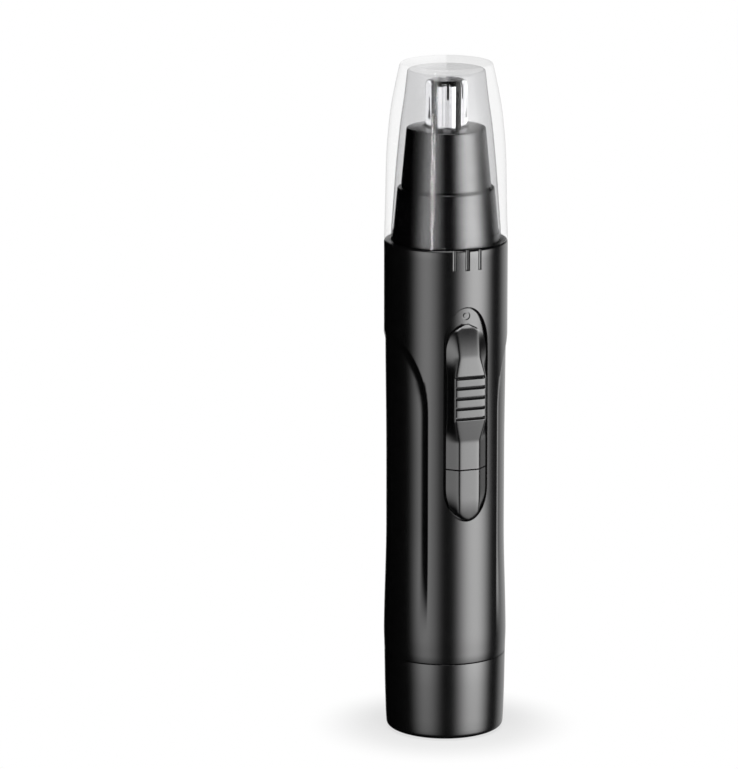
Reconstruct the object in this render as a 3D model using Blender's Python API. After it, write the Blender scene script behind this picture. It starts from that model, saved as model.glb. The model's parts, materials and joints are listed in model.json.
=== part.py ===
"""Nose hair trimmer: a slim battery trimmer with a twist-off cutting head.

The origin is the centre of the flat base, +Z runs along the body and the
switch faces -Y. Every size is in metres. Heights are measured from the base.
"""
import math

import bmesh
import bpy

MM = 0.001

# ---------------------------------------------------------------- driving sizes
BODY_RADIUS = 13.0 * MM          # outside of the handle
SHOULDER_HEIGHT = 106.0 * MM     # top of the handle
HOUSING_WALL = 1.45 * MM
CLEARANCE = 0.3 * MM             # gap between neighbouring pieces
SHEET = 0.25 * MM                # thickness of stamped contacts

CELL_RADIUS = 7.25 * MM          # one AA cell
CELL_LENGTH = 50.5 * MM
CELL_NUB_RADIUS = 2.75 * MM
CELL_NUB_HEIGHT = 1.3 * MM

BASE_FLAT_RADIUS = 10.9 * MM
BASE_EDGE_RADIUS = 1.4 * MM
BATTERY_CAP_HEIGHT = 16.55 * MM
BATTERY_CAP_FLOOR = 2.0 * MM
SPIGOT_HEIGHT = 7.5 * MM
SPIGOT_WALL = 1.8 * MM
SPRING_WIRE_RADIUS = 0.35 * MM
BATTERY_SPRING_HEIGHT = 3.7 * MM
BATTERY_SPRING_RADIUS = 4.6 * MM
TWIST = math.radians(40)         # bayonet travel of the battery cap and the head
LUG_HALF_ANGLE = math.radians(8)
LUG_HEIGHT = 1.2 * MM
LUG_REACH = 0.75 * MM

CHASSIS_WALL = 0.75 * MM
SLEEVE_WALL = 0.9 * MM
BULKHEAD = 2.0 * MM

MOTOR_RADIUS = 10.05 * MM
MOTOR_HALF_FLAT = 7.55 * MM
MOTOR_LENGTH = 25.0 * MM
MOTOR_SHEET = 0.7 * MM
END_BELL_HEIGHT = 3.0 * MM
SHAFT_RADIUS = 1.0 * MM
SHAFT_OVERHANG = 9.0 * MM
BEARING_RADIUS = 2.3 * MM
ARMATURE_RADIUS = 6.3 * MM
MAGNET_THICKNESS = 2.1 * MM
POLES = 3

COLLAR_HEIGHT = 11.2 * MM        # visible cone above the shoulder
COLLAR_RING_HEIGHT = 1.8 * MM
COLLAR_WALL = 1.0 * MM
COLLAR_TAPER = 0.9 * MM
HEAD_HEIGHT = 12.6 * MM          # visible upper cone
HEAD_STEP = 0.75 * MM
HEAD_TAPER = 1.15 * MM
SKIRT_DEPTH = 8.8 * MM
SKIRT_WALL = 1.3 * MM

GUARD_RADIUS = 4.4 * MM
GUARD_WALL = 0.35 * MM
GUARD_HEIGHT = 9.9 * MM         # above the top of the cone
GUARD_DOME = 1.3 * MM
GUARD_SLOTS = 8
GUARD_SLOT_WIDTH = 0.45 * MM
GUARD_SLOT_DEPTH = 3.7 * MM
GUARD_SLOT_TURN = math.radians(-16)
CARRIER_RADIUS = 2.0 * MM
BLADE_THICKNESS = 0.8 * MM
BLADE_HEIGHT = 5.4 * MM

CAP_HEIGHT = 37.25 * MM
CAP_TOP_THICKNESS = 1.4 * MM
CAP_MOUTH_WALL = 1.45 * MM

WINDOW_HALF_WIDTH = 4.8 * MM
WINDOW_DROP = 12.1 * MM          # shoulder to the top of the window
WINDOW_TOP_ARCH = 8.3 * MM
WINDOW_STRAIGHT = 30.3 * MM
WINDOW_BOTTOM_ARCH = 7.2 * MM
BED_RECESS = 0.8 * MM            # bed surface below the housing surface
TAIL_LENGTH = 11.2 * MM

SLIDER_HALF_WIDTH = 4.4 * MM
SLIDER_LENGTH = 30.6 * MM
SLIDER_ARCH = 5.6 * MM
SLIDER_RISE = 1.3 * MM           # centre facet above the housing surface
SLIDER_FACET = 2.25 * MM         # half width of the centre facet
PAD_START = 5.9 * MM             # above the slider's lower end
PAD_LENGTH = 18.1 * MM
PAD_HALF_WIDTH = 3.6 * MM
PAD_RISE = 0.75 * MM
PAD_GROOVES = 5
PAD_GROOVE_PITCH = 2.18 * MM
PAD_GROOVE_RADIUS = 0.42 * MM
SLIDER_TRAVEL = 2.8 * MM
SHANK_HALF_WIDTH = 1.3 * MM
SHANK_LENGTH = 4.0 * MM
SHANK_START = 6.4 * MM

INDEX_GROOVES = 3
INDEX_PITCH = 2.9 * MM
INDEX_WIDTH = 1.05 * MM
INDEX_LENGTH = 4.3 * MM
INDEX_DEPTH = 0.5 * MM

SCOOP_DROP = 18.5 * MM           # shoulder to the top of the side scoop
SCOOP_BOTTOM = 19.4 * MM
SCOOP_HALF_ARC = 11.7 * MM
SCOOP_ARCH = 16.0 * MM
SCOOP_EDGE_DEPTH = 0.6 * MM
SCOOP_SIDE_DEPTH = 0.3 * MM

SCREW_OFFSET = 6.0 * MM
SCREW_RADIUS = 0.8 * MM
SCREW_HEAD_RADIUS = 1.7 * MM
SCREW_HEAD_HEIGHT = 1.2 * MM
SCREW_LENGTH = 8.0 * MM

OUTER_SEGMENTS = 40
INNER_SEGMENTS = 28
SMALL_SEGMENTS = 16

# ---------------------------------------------------------------- derived sizes
BORE_RADIUS = BODY_RADIUS - HOUSING_WALL
HOUSING_BOTTOM = BATTERY_CAP_HEIGHT + CLEARANCE
SPIGOT_RADIUS = BORE_RADIUS - CLEARANCE
SPIGOT_TOP = BATTERY_CAP_HEIGHT + SPIGOT_HEIGHT
SPIGOT_BORE = SPIGOT_RADIUS - SPIGOT_WALL

CAP_PLATE_BOTTOM = BATTERY_CAP_FLOOR + CLEARANCE
SPRING_BOTTOM = CAP_PLATE_BOTTOM + SHEET + CLEARANCE
CELL_BOTTOM = SPRING_BOTTOM + BATTERY_SPRING_HEIGHT + CLEARANCE
CELL_TOP = CELL_BOTTOM + CELL_LENGTH
POSITIVE_PLATE = CELL_TOP + CLEARANCE

CHASSIS_RADIUS = BORE_RADIUS - CLEARANCE
CHASSIS_INNER = CHASSIS_RADIUS - CHASSIS_WALL
CHASSIS_BOTTOM = SPIGOT_TOP + CLEARANCE
SLEEVE_BORE = CELL_RADIUS + CLEARANCE
SLEEVE_RADIUS = SLEEVE_BORE + SLEEVE_WALL
CELL_BULKHEAD = POSITIVE_PLATE + SHEET + CLEARANCE
TERMINAL_GAP = 2.4 * MM
MOTOR_BOTTOM = CELL_BULKHEAD + BULKHEAD + TERMINAL_GAP
CAN_BOTTOM = MOTOR_BOTTOM + END_BELL_HEIGHT + CLEARANCE
MOTOR_TOP = MOTOR_BOTTOM + MOTOR_LENGTH
MOTOR_BULKHEAD = MOTOR_TOP + CLEARANCE
COLLAR_BOTTOM = SHOULDER_HEIGHT - 2.5 * MM
CHASSIS_TOP = COLLAR_BOTTOM - CLEARANCE

COLLAR_RADIUS = BORE_RADIUS - CLEARANCE
COLLAR_TOP = SHOULDER_HEIGHT + COLLAR_HEIGHT
COLLAR_TOP_RADIUS = COLLAR_RADIUS - 0.15 * MM - COLLAR_TAPER
COLLAR_BORE = COLLAR_TOP_RADIUS - COLLAR_WALL
DECK_BOTTOM = COLLAR_BOTTOM + 1.5 * MM
DECK_TOP = DECK_BOTTOM + 1.6 * MM

HEAD_BOTTOM = COLLAR_TOP + CLEARANCE
HEAD_TOP = HEAD_BOTTOM + HEAD_HEIGHT
HEAD_BASE_RADIUS = COLLAR_TOP_RADIUS - HEAD_STEP
HEAD_TOP_RADIUS = HEAD_BASE_RADIUS - HEAD_TAPER
SKIRT_RADIUS = COLLAR_BORE - CLEARANCE
SKIRT_BORE = SKIRT_RADIUS - SKIRT_WALL
SKIRT_BOTTOM = HEAD_BOTTOM - SKIRT_DEPTH

GUARD_FLANGE_RADIUS = GUARD_RADIUS + 1.0 * MM
GUARD_FLANGE_TOP = HEAD_TOP - 3.4 * MM
GUARD_FLANGE_BOTTOM = GUARD_FLANGE_TOP - 0.8 * MM
GUARD_TOP = HEAD_TOP + GUARD_HEIGHT
INSERT_BORE = GUARD_FLANGE_RADIUS + CLEARANCE
BUSH_TOP = GUARD_FLANGE_BOTTOM - CLEARANCE
BUSH_BOTTOM = BUSH_TOP - 3.0 * MM

COUPLING_RADIUS = 3.2 * MM
COUPLING_BOTTOM = MOTOR_BULKHEAD + BULKHEAD + 1.0 * MM
COUPLING_TOP = DECK_TOP + 2.9 * MM
COUPLING_SLOT_DEPTH = 4.0 * MM
TANG_HALF_WIDTH = 2.2 * MM
TANG_HALF_THICKNESS = 0.6 * MM
CARRIER_BOTTOM = COUPLING_TOP - COUPLING_SLOT_DEPTH + CLEARANCE
BLADE_TOP = GUARD_TOP - GUARD_WALL - 0.7 * MM
BLADE_BOTTOM = BLADE_TOP - BLADE_HEIGHT
CARRIER_TOP = BLADE_BOTTOM - CLEARANCE
FLANGE_HEIGHT = 1.0 * MM
CARRIER_FLANGE_TOP = BUSH_BOTTOM - CLEARANCE - 2.0 * MM
CARRIER_FLANGE_BOTTOM = CARRIER_FLANGE_TOP - FLANGE_HEIGHT

CAP_BOTTOM = SHOULDER_HEIGHT + 0.25 * MM
CAP_TOP = CAP_BOTTOM + CAP_HEIGHT

WINDOW_TOP = SHOULDER_HEIGHT - WINDOW_DROP
WINDOW_ARCH_BASE = WINDOW_TOP - WINDOW_TOP_ARCH
WINDOW_STRAIGHT_BASE = WINDOW_ARCH_BASE - WINDOW_STRAIGHT
WINDOW_BOTTOM = WINDOW_STRAIGHT_BASE - WINDOW_BOTTOM_ARCH

BED_SURFACE = BODY_RADIUS - BED_RECESS
BED_BACK = CHASSIS_RADIUS - 2.8 * MM      # flat inner face of the bed's rails
BED_HALF_WIDTH = 5.8 * MM
BED_MARGIN = 2.1 * MM
CHANNEL_HALF_WIDTH = 3.9 * MM
CHANNEL_FLOOR = CHASSIS_RADIUS - 0.95 * MM
TAIL_TOP = WINDOW_BOTTOM + TAIL_LENGTH
SLIDER_BOTTOM = TAIL_TOP + CLEARANCE
SLIDER_TOP = SLIDER_BOTTOM + SLIDER_LENGTH
SLIDER_UNDERSIDE = BED_SURFACE + 0.25 * MM
SHANK_BOTTOM = SLIDER_BOTTOM + SHANK_START
SHANK_TOP = SHANK_BOTTOM + SHANK_LENGTH

CARRIAGE_OUTER = CHANNEL_FLOOR - CLEARANCE
CARRIAGE_INNER = CARRIAGE_OUTER - 1.0 * MM
CARRIAGE_HALF_WIDTH = CHANNEL_HALF_WIDTH - CLEARANCE
CARRIAGE_BOTTOM = SHANK_BOTTOM - 3.5 * MM
CARRIAGE_TOP = SHANK_TOP + 3.5 * MM
BRIDGE_OUTER = CARRIAGE_INNER - CLEARANCE
BRIDGE_INNER = BRIDGE_OUTER - SHEET
STRIP_OUTER = BRIDGE_INNER - CLEARANCE
STRIP_INNER = STRIP_OUTER - SHEET
BRIDGE_BOTTOM = CARRIAGE_BOTTOM + 0.5 * MM
BRIDGE_TOP = BRIDGE_BOTTOM + 2.5 * MM
SWITCHED_START = BRIDGE_TOP + 0.8 * MM
SWITCHED_TOP = BRIDGE_TOP + SLIDER_TRAVEL + 0.6 * MM
STRIP_EDGE = CHANNEL_HALF_WIDTH + 0.7 * MM
STRIP_LEG = 1.1 * MM
STRIP_TONGUE = 1.0 * MM

TERMINAL_OFFSET = 5.8 * MM
TERMINAL_HALF_WIDTH = 1.0 * MM
TERMINAL_BOTTOM = CELL_BULKHEAD + BULKHEAD + CLEARANCE + SHEET + CLEARANCE
LUG_LEVEL = BATTERY_CAP_HEIGHT + 5.0 * MM
CAP_SEAL_LEVEL = BATTERY_CAP_HEIGHT + 2.0 * MM
SEAL_GROOVE_DEPTH = 0.75 * MM
SEAL_HALF_HEIGHT = 0.7 * MM
SLEEVE_BOTTOM = CELL_BOTTOM + 3.0 * MM
SLEEVE_BULKHEAD = (CHASSIS_BOTTOM + CELL_BULKHEAD) / 2
NEGATIVE_STRIP = SLEEVE_RADIUS + CLEARANCE
SCREW_BOSS_RADIUS = 2.2 * MM
SCREW_BOSS_LENGTH = 6.5 * MM
BOSS_TOP = MOTOR_BULKHEAD + 1.4 * MM
BRUSH_LEVEL = MOTOR_BOTTOM + END_BELL_HEIGHT + 1.5 * MM
COMMUTATOR_RADIUS = 2.2 * MM
COMMUTATOR_LENGTH = 3.5 * MM
ARMATURE_LOW = BRUSH_LEVEL + CLEARANCE + COMMUTATOR_LENGTH + 1.8 * MM
ARMATURE_HIGH = MOTOR_TOP - 3.6 * MM
POLE_NECK = 1.1 * MM
POLE_SHOE = 1.0 * MM
HUB_RADIUS = 2.4 * MM
HEAD_LUG_LEVEL = SKIRT_BOTTOM + 1.3 * MM
HEAD_SEAL_LEVEL = SKIRT_BOTTOM + 5.6 * MM


# ---------------------------------------------------------------- modelling tools

def remove_everything():
    for item in list(bpy.data.objects):
        bpy.data.objects.remove(item, do_unlink=True)


def link(name, shape):
    """Turn a finished bmesh into an object with outward faces."""
    bmesh.ops.recalc_face_normals(shape, faces=shape.faces)
    mesh = bpy.data.meshes.new(name)
    shape.to_mesh(mesh)
    shape.free()
    item = bpy.data.objects.new(name, mesh)
    bpy.context.scene.collection.objects.link(item)
    return item


def turned(name, outline, segments=OUTER_SEGMENTS):
    """Spin a (radius, height) outline about Z. An outline on the axis stays open there."""
    shape = bmesh.new()
    points = [shape.verts.new((radius, 0, height)) for radius, height in outline]
    on_axis = any(radius == 0 for radius, height in outline)
    edges = [shape.edges.new(pair) for pair in zip(points, points[1:])]
    if not on_axis:
        edges.append(shape.edges.new((points[-1], points[0])))
    bmesh.ops.spin(shape, geom=points + edges, cent=(0, 0, 0), axis=(0, 0, 1),
                   angle=2 * math.pi, steps=segments, use_merge=True)
    bmesh.ops.remove_doubles(shape, verts=shape.verts, dist=1e-7)
    return link(name, shape)


def prism(name, outline, low, high, axis="Z"):
    """Extrude a flat outline. Across X it is (y, z), across Y (x, z), across Z (x, y)."""
    place = {
        "X": lambda point, depth: (depth, point[0], point[1]),
        "Y": lambda point, depth: (point[0], depth, point[1]),
        "Z": lambda point, depth: (point[0], point[1], depth),
    }[axis]
    shape = bmesh.new()
    face = shape.faces.new([shape.verts.new(place(point, low)) for point in outline])
    grown = bmesh.ops.extrude_face_region(shape, geom=[face])
    moved = [part for part in grown["geom"] if isinstance(part, bmesh.types.BMVert)]
    step = [high_part - low_part for high_part, low_part in zip(place((0, 0), high), place((0, 0), low))]
    bmesh.ops.translate(shape, verts=moved, vec=step)
    return link(name, shape)


def box(name, low, high):
    """A block between two corners."""
    outline = [(low[0], low[1]), (high[0], low[1]), (high[0], high[1]), (low[0], high[1])]
    return prism(name, outline, low[2], high[2])


def lofted(name, rings):
    """Skin a stack of rings with equal point counts and close both ends."""
    shape = bmesh.new()
    layers = [[shape.verts.new(point) for point in ring] for ring in rings]
    count = len(rings[0])
    for lower, upper in zip(layers, layers[1:]):
        for index in range(count):
            after = (index + 1) % count
            shape.faces.new((lower[index], lower[after], upper[after], upper[index]))
    shape.faces.new(layers[0])
    shape.faces.new(layers[-1])
    return link(name, shape)


def bake(item):
    """Replace an object's mesh by its evaluated one and drop the modifiers."""
    graph = bpy.context.evaluated_depsgraph_get()
    mesh = bpy.data.meshes.new_from_object(item.evaluated_get(graph))
    item.modifiers.clear()
    item.data = mesh


def combine(item, other, operation):
    """Boolean one object with another, which is used up."""
    step = item.modifiers.new(operation.lower(), "BOOLEAN")
    step.operation = operation
    step.solver = "EXACT"
    step.object = other
    bake(item)
    bpy.data.objects.remove(other, do_unlink=True)


def cut(item, *tools):
    for tool in tools:
        combine(item, tool, "DIFFERENCE")


def add(item, *tools):
    for tool in tools:
        combine(item, tool, "UNION")


def keep(item, tool):
    combine(item, tool, "INTERSECT")


def material(name, colour, roughness, metallic=0.0, alpha=1.0):
    finish = bpy.data.materials.get(name) or bpy.data.materials.new(name)
    finish.use_nodes = True
    shader = finish.node_tree.nodes["Principled BSDF"]
    shader.inputs["Base Color"].default_value = (*colour, 1.0)
    shader.inputs["Roughness"].default_value = roughness
    shader.inputs["Metallic"].default_value = metallic
    shader.inputs["Alpha"].default_value = alpha
    return finish


def dress(item, finish, parent=None):
    """Give an object its finish, smooth shading and the empty that carries it."""
    item.data.materials.clear()
    item.data.materials.append(finish)
    item.data.shade_smooth()
    item.data.set_sharp_from_angle(angle=math.radians(35))
    if parent is not None:
        item.parent = parent
        item.matrix_parent_inverse = parent.matrix_basis.inverted()


def joint_empty(name, height, depth=0.0):
    """An empty on a joint's axis."""
    empty = bpy.data.objects.new(name, None)
    empty.empty_display_size = 5 * MM
    empty.location = (0, -depth, height)
    bpy.context.scene.collection.objects.link(empty)
    return empty


def arc(centre, radii, start, end, steps):
    """Points along an elliptical arc, angles in degrees."""
    points = []
    for index in range(steps + 1):
        angle = math.radians(start + (end - start) * index / steps)
        points.append((centre[0] + radii[0] * math.cos(angle), centre[1] + radii[1] * math.sin(angle)))
    return points


def circle_outline(centre, radius, steps):
    """A closed circle whose corners keep off the axes."""
    half_step = 180 / steps
    return arc(centre, (radius, radius), half_step, 360 - half_step, steps - 1)


def ring_sector(name, inner, outer, low, high, start, end, steps=6):
    """A curved block between two radii, two heights and two angles in radians."""
    outside = arc((0, 0), (outer, outer), math.degrees(start), math.degrees(end), steps)
    inside = arc((0, 0), (inner, inner), math.degrees(end), math.degrees(start), steps)
    return prism(name, outside + inside, low, high)


def ring(name, inner, outer, low, high, segments=INNER_SEGMENTS):
    return turned(name, [(outer, low), (outer, high), (inner, high), (inner, low)], segments)


def seal_ring(name, inner, outer, height, segments=INNER_SEGMENTS):
    """A round-section sealing ring between two radii."""
    half = (outer - inner) / 2
    return turned(name, circle_outline(((inner + outer) / 2, height), half, 8), segments)


def coil(name, radius_at, low, high, turns, wire):
    """A closed tube along a rising helix whose radius follows radius_at(share)."""
    steps = int(turns * 14)
    sides = 6
    rings = []
    for index in range(steps + 1):
        share = index / steps
        angle = 2 * math.pi * turns * share
        radius = radius_at(share)
        height = low + wire + (high - low - 2 * wire) * share
        loop = []
        for side in range(sides):
            turn = 2 * math.pi * side / sides
            reach = radius + wire * math.cos(turn)
            loop.append((reach * math.cos(angle), reach * math.sin(angle), height + wire * math.sin(turn)))
        rings.append(loop)
    return lofted(name, rings)


def bayonet_lugs(reach_in, wall_radius, height):
    """Two inward lugs, which grow out of a wall."""
    lugs = []
    for side in range(2):
        middle = math.pi * side
        lugs.append(ring_sector("lug", reach_in, wall_radius + 0.3 * MM, height, height + LUG_HEIGHT,
                                middle - LUG_HALF_ANGLE, middle + LUG_HALF_ANGLE, 2))
    return lugs


def bayonet_slots(floor_radius, outer, height, mouth):
    """Cutters for the L-shaped slots that the lugs run in; mouth is the open end's height."""
    slots = []
    margin = LUG_HALF_ANGLE + CLEARANCE / outer
    low = height - CLEARANCE
    high = height + LUG_HEIGHT + CLEARANCE
    for side in range(2):
        middle = math.pi * side
        slots.append(ring_sector("slot", floor_radius, outer + MM, low, high,
                                 middle - TWIST - margin, middle + margin, 8))
        slots.append(ring_sector("entry", floor_radius, outer + MM, min(low, mouth), max(high, mouth),
                                 middle - TWIST - margin, middle - TWIST + margin, 3))
    return slots


def rounded_ends(half_width, top, top_base, bottom_base, bottom, steps=14):
    """A slot outline (x, z) with elliptical ends."""
    upper = arc((0, top_base), (half_width, top - top_base), 0, 180, steps)
    lower = arc((0, bottom_base), (half_width, bottom_base - bottom), 180, 360, steps)
    return upper + lower


# ---------------------------------------------------------------- finishes
def black_plastic():
    return material("black_plastic", (0.022, 0.022, 0.023), 0.28)


def clear_plastic():
    return material("clear_plastic", (0.93, 0.94, 0.95), 0.05, 0.0, 0.25)


def inner_plastic():
    return material("inner_plastic", (0.62, 0.62, 0.6), 0.5)


def dark_inner_plastic():
    return material("dark_inner_plastic", (0.06, 0.06, 0.065), 0.45)


def polished_steel():
    return material("polished_steel", (0.78, 0.78, 0.79), 0.12, 1.0)


def plain_steel():
    return material("plain_steel", (0.55, 0.55, 0.56), 0.35, 1.0)


def nickel_sheet():
    return material("nickel_sheet", (0.72, 0.69, 0.62), 0.25, 1.0)


def bronze():
    return material("bronze", (0.55, 0.38, 0.2), 0.4, 1.0)


def copper():
    return material("copper", (0.72, 0.33, 0.16), 0.35, 1.0)


def ferrite():
    return material("ferrite", (0.08, 0.08, 0.085), 0.7)


def seal_rubber():
    return material("seal_rubber", (0.03, 0.03, 0.03), 0.75)


def cell_jacket():
    return material("cell_jacket", (0.12, 0.2, 0.32), 0.35)


# ---------------------------------------------------------------- handle shells
def scoop_edge():
    """Side-view outline (y, z) of a scoop: straight sides and an arched top."""
    top_centre = SHOULDER_HEIGHT - SCOOP_DROP - SCOOP_ARCH
    outline = []
    for share in arc((0, 0), (1, 1), 0, 180, 12):
        along = SCOOP_HALF_ARC * share[0]
        outline.append((BODY_RADIUS * math.sin(along / BODY_RADIUS), top_centre + SCOOP_ARCH * share[1]))
    outline.append((outline[-1][0], SCOOP_BOTTOM))
    outline.append((outline[0][0], SCOOP_BOTTOM))
    return outline


def scoop_floor_radius(angle, height):
    """Radius of the scooped surface; angle is measured from the side of the body."""
    top = SHOULDER_HEIGHT - SCOOP_DROP
    middle = (SCOOP_BOTTOM + top) / 2
    ramp = min(1.0, max(0.0, (height - SCOOP_BOTTOM) / (middle - SCOOP_BOTTOM)))
    fall = min(1.0, max(0.0, (top - height) / (top - middle)))
    share = min(1.0, abs(angle) * BODY_RADIUS / SCOOP_HALF_ARC)
    edge = SCOOP_EDGE_DEPTH * ramp
    side = SCOOP_SIDE_DEPTH * min(ramp, fall)
    beyond = 0.05 * MM * max(0.0, 1 - ramp * 12)
    return BODY_RADIUS + beyond - side - (edge - side) * share ** 2


def scoop_cutter():
    """What the two side scoops take off the body."""
    core_rings = []
    top = SHOULDER_HEIGHT - SCOOP_DROP
    levels = 8
    for level in range(levels + 1):
        height = SCOOP_BOTTOM - MM + (top + 2 * MM - SCOOP_BOTTOM) * level / levels
        loop = []
        for index in range(OUTER_SEGMENTS):
            turn = 2 * math.pi * (index + 0.5) / OUTER_SEGMENTS
            from_side = math.asin(math.sin(turn))
            radius = scoop_floor_radius(from_side, height)
            loop.append((radius * math.cos(turn), radius * math.sin(turn), height))
        core_rings.append(loop)
    core = lofted("scoop_core", core_rings)
    reach = BODY_RADIUS + 2 * MM
    cutter = prism("scoop_prism", scoop_edge(), -reach, reach, "X")
    cut(cutter, core)
    return cutter


def window_outline(inset=0.0):
    return rounded_ends(WINDOW_HALF_WIDTH - inset, WINDOW_TOP - inset, WINDOW_ARCH_BASE,
                        WINDOW_STRAIGHT_BASE, WINDOW_BOTTOM + inset)


def make_housing():
    edge = 0.4 * MM
    outline = [
        (BORE_RADIUS, HOUSING_BOTTOM),
        (BODY_RADIUS - 0.15 * MM, HOUSING_BOTTOM),
        (BODY_RADIUS, HOUSING_BOTTOM + 4 * MM),
        (BODY_RADIUS, SHOULDER_HEIGHT - edge),
        (BODY_RADIUS - edge * 0.3, SHOULDER_HEIGHT - edge * 0.3),
        (BODY_RADIUS - edge, SHOULDER_HEIGHT),
        (BORE_RADIUS, SHOULDER_HEIGHT),
    ]
    housing = turned("housing", outline)
    cut(housing, scoop_cutter())
    cut(housing, prism("window", window_outline(), -BODY_RADIUS - 2 * MM, -BORE_RADIUS * 0.5, "Y"))
    for index in range(INDEX_GROOVES):
        centre = (index - (INDEX_GROOVES - 1) / 2) * INDEX_PITCH
        surface = math.sqrt(BODY_RADIUS ** 2 - centre ** 2)
        cut(housing, box("index_groove",
                         (centre - INDEX_WIDTH / 2, -surface - MM, SHOULDER_HEIGHT - INDEX_LENGTH),
                         (centre + INDEX_WIDTH / 2, -surface + INDEX_DEPTH, SHOULDER_HEIGHT + MM)))
    add(housing, *bayonet_lugs(BORE_RADIUS - LUG_REACH - CLEARANCE, BORE_RADIUS, LUG_LEVEL))
    return housing


def make_battery_cap(joint):
    groove = SPIGOT_RADIUS - SEAL_GROOVE_DEPTH
    outline = [(0, 0)]
    outline += arc((BASE_FLAT_RADIUS, BASE_EDGE_RADIUS), (BASE_EDGE_RADIUS, BASE_EDGE_RADIUS), -90, 0, 4)
    outline += [
        (BODY_RADIUS - 0.35 * MM, BATTERY_CAP_HEIGHT * 0.45),
        (BODY_RADIUS - 0.15 * MM, BATTERY_CAP_HEIGHT),
        (SPIGOT_RADIUS, BATTERY_CAP_HEIGHT),
        (SPIGOT_RADIUS, CAP_SEAL_LEVEL - SEAL_HALF_HEIGHT),
        (groove, CAP_SEAL_LEVEL - SEAL_HALF_HEIGHT),
        (groove, CAP_SEAL_LEVEL + SEAL_HALF_HEIGHT),
        (SPIGOT_RADIUS, CAP_SEAL_LEVEL + SEAL_HALF_HEIGHT),
        (SPIGOT_RADIUS, SPIGOT_TOP),
        (SPIGOT_BORE, SPIGOT_TOP),
        (SPIGOT_BORE, BATTERY_CAP_FLOOR),
        (0, BATTERY_CAP_FLOOR),
    ]
    cap = turned("battery_cap", outline)
    floor_radius = BORE_RADIUS - LUG_REACH - 2 * CLEARANCE
    cut(cap, *bayonet_slots(floor_radius, SPIGOT_RADIUS, LUG_LEVEL, SPIGOT_TOP + MM))
    dress(cap, black_plastic(), joint)


def make_battery_cap_fittings(joint):
    groove = SPIGOT_RADIUS - SEAL_GROOVE_DEPTH
    seal = seal_ring("battery_cap_seal", groove + 0.2 * MM, BORE_RADIUS - 0.15 * MM, CAP_SEAL_LEVEL)
    dress(seal, seal_rubber(), joint)
    plate = turned("battery_cap_contact", [
        (0, CAP_PLATE_BOTTOM),
        (SPIGOT_BORE - CLEARANCE, CAP_PLATE_BOTTOM),
        (SPIGOT_BORE - CLEARANCE, CAP_PLATE_BOTTOM + SHEET),
        (0, CAP_PLATE_BOTTOM + SHEET),
    ], INNER_SEGMENTS)
    dress(plate, nickel_sheet(), joint)
    spring = coil("battery_spring", lambda share: BATTERY_SPRING_RADIUS * (1 - 0.35 * share),
                  SPRING_BOTTOM, SPRING_BOTTOM + BATTERY_SPRING_HEIGHT, 3.0, SPRING_WIRE_RADIUS)
    dress(spring, plain_steel(), joint)


# ---------------------------------------------------------------- chassis and cell
def make_battery_cell():
    crimp = 0.6 * MM
    shoulder = CELL_TOP - CELL_NUB_HEIGHT
    cell = turned("battery_cell", [
        (0, CELL_BOTTOM),
        (CELL_RADIUS - crimp, CELL_BOTTOM),
        (CELL_RADIUS, CELL_BOTTOM + crimp),
        (CELL_RADIUS, shoulder - crimp),
        (CELL_RADIUS - crimp, shoulder),
        (CELL_NUB_RADIUS, shoulder),
        (CELL_NUB_RADIUS, CELL_TOP),
        (0, CELL_TOP),
    ], INNER_SEGMENTS)
    dress(cell, cell_jacket())


def screw_places():
    return (-SCREW_OFFSET, SCREW_OFFSET)


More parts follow.
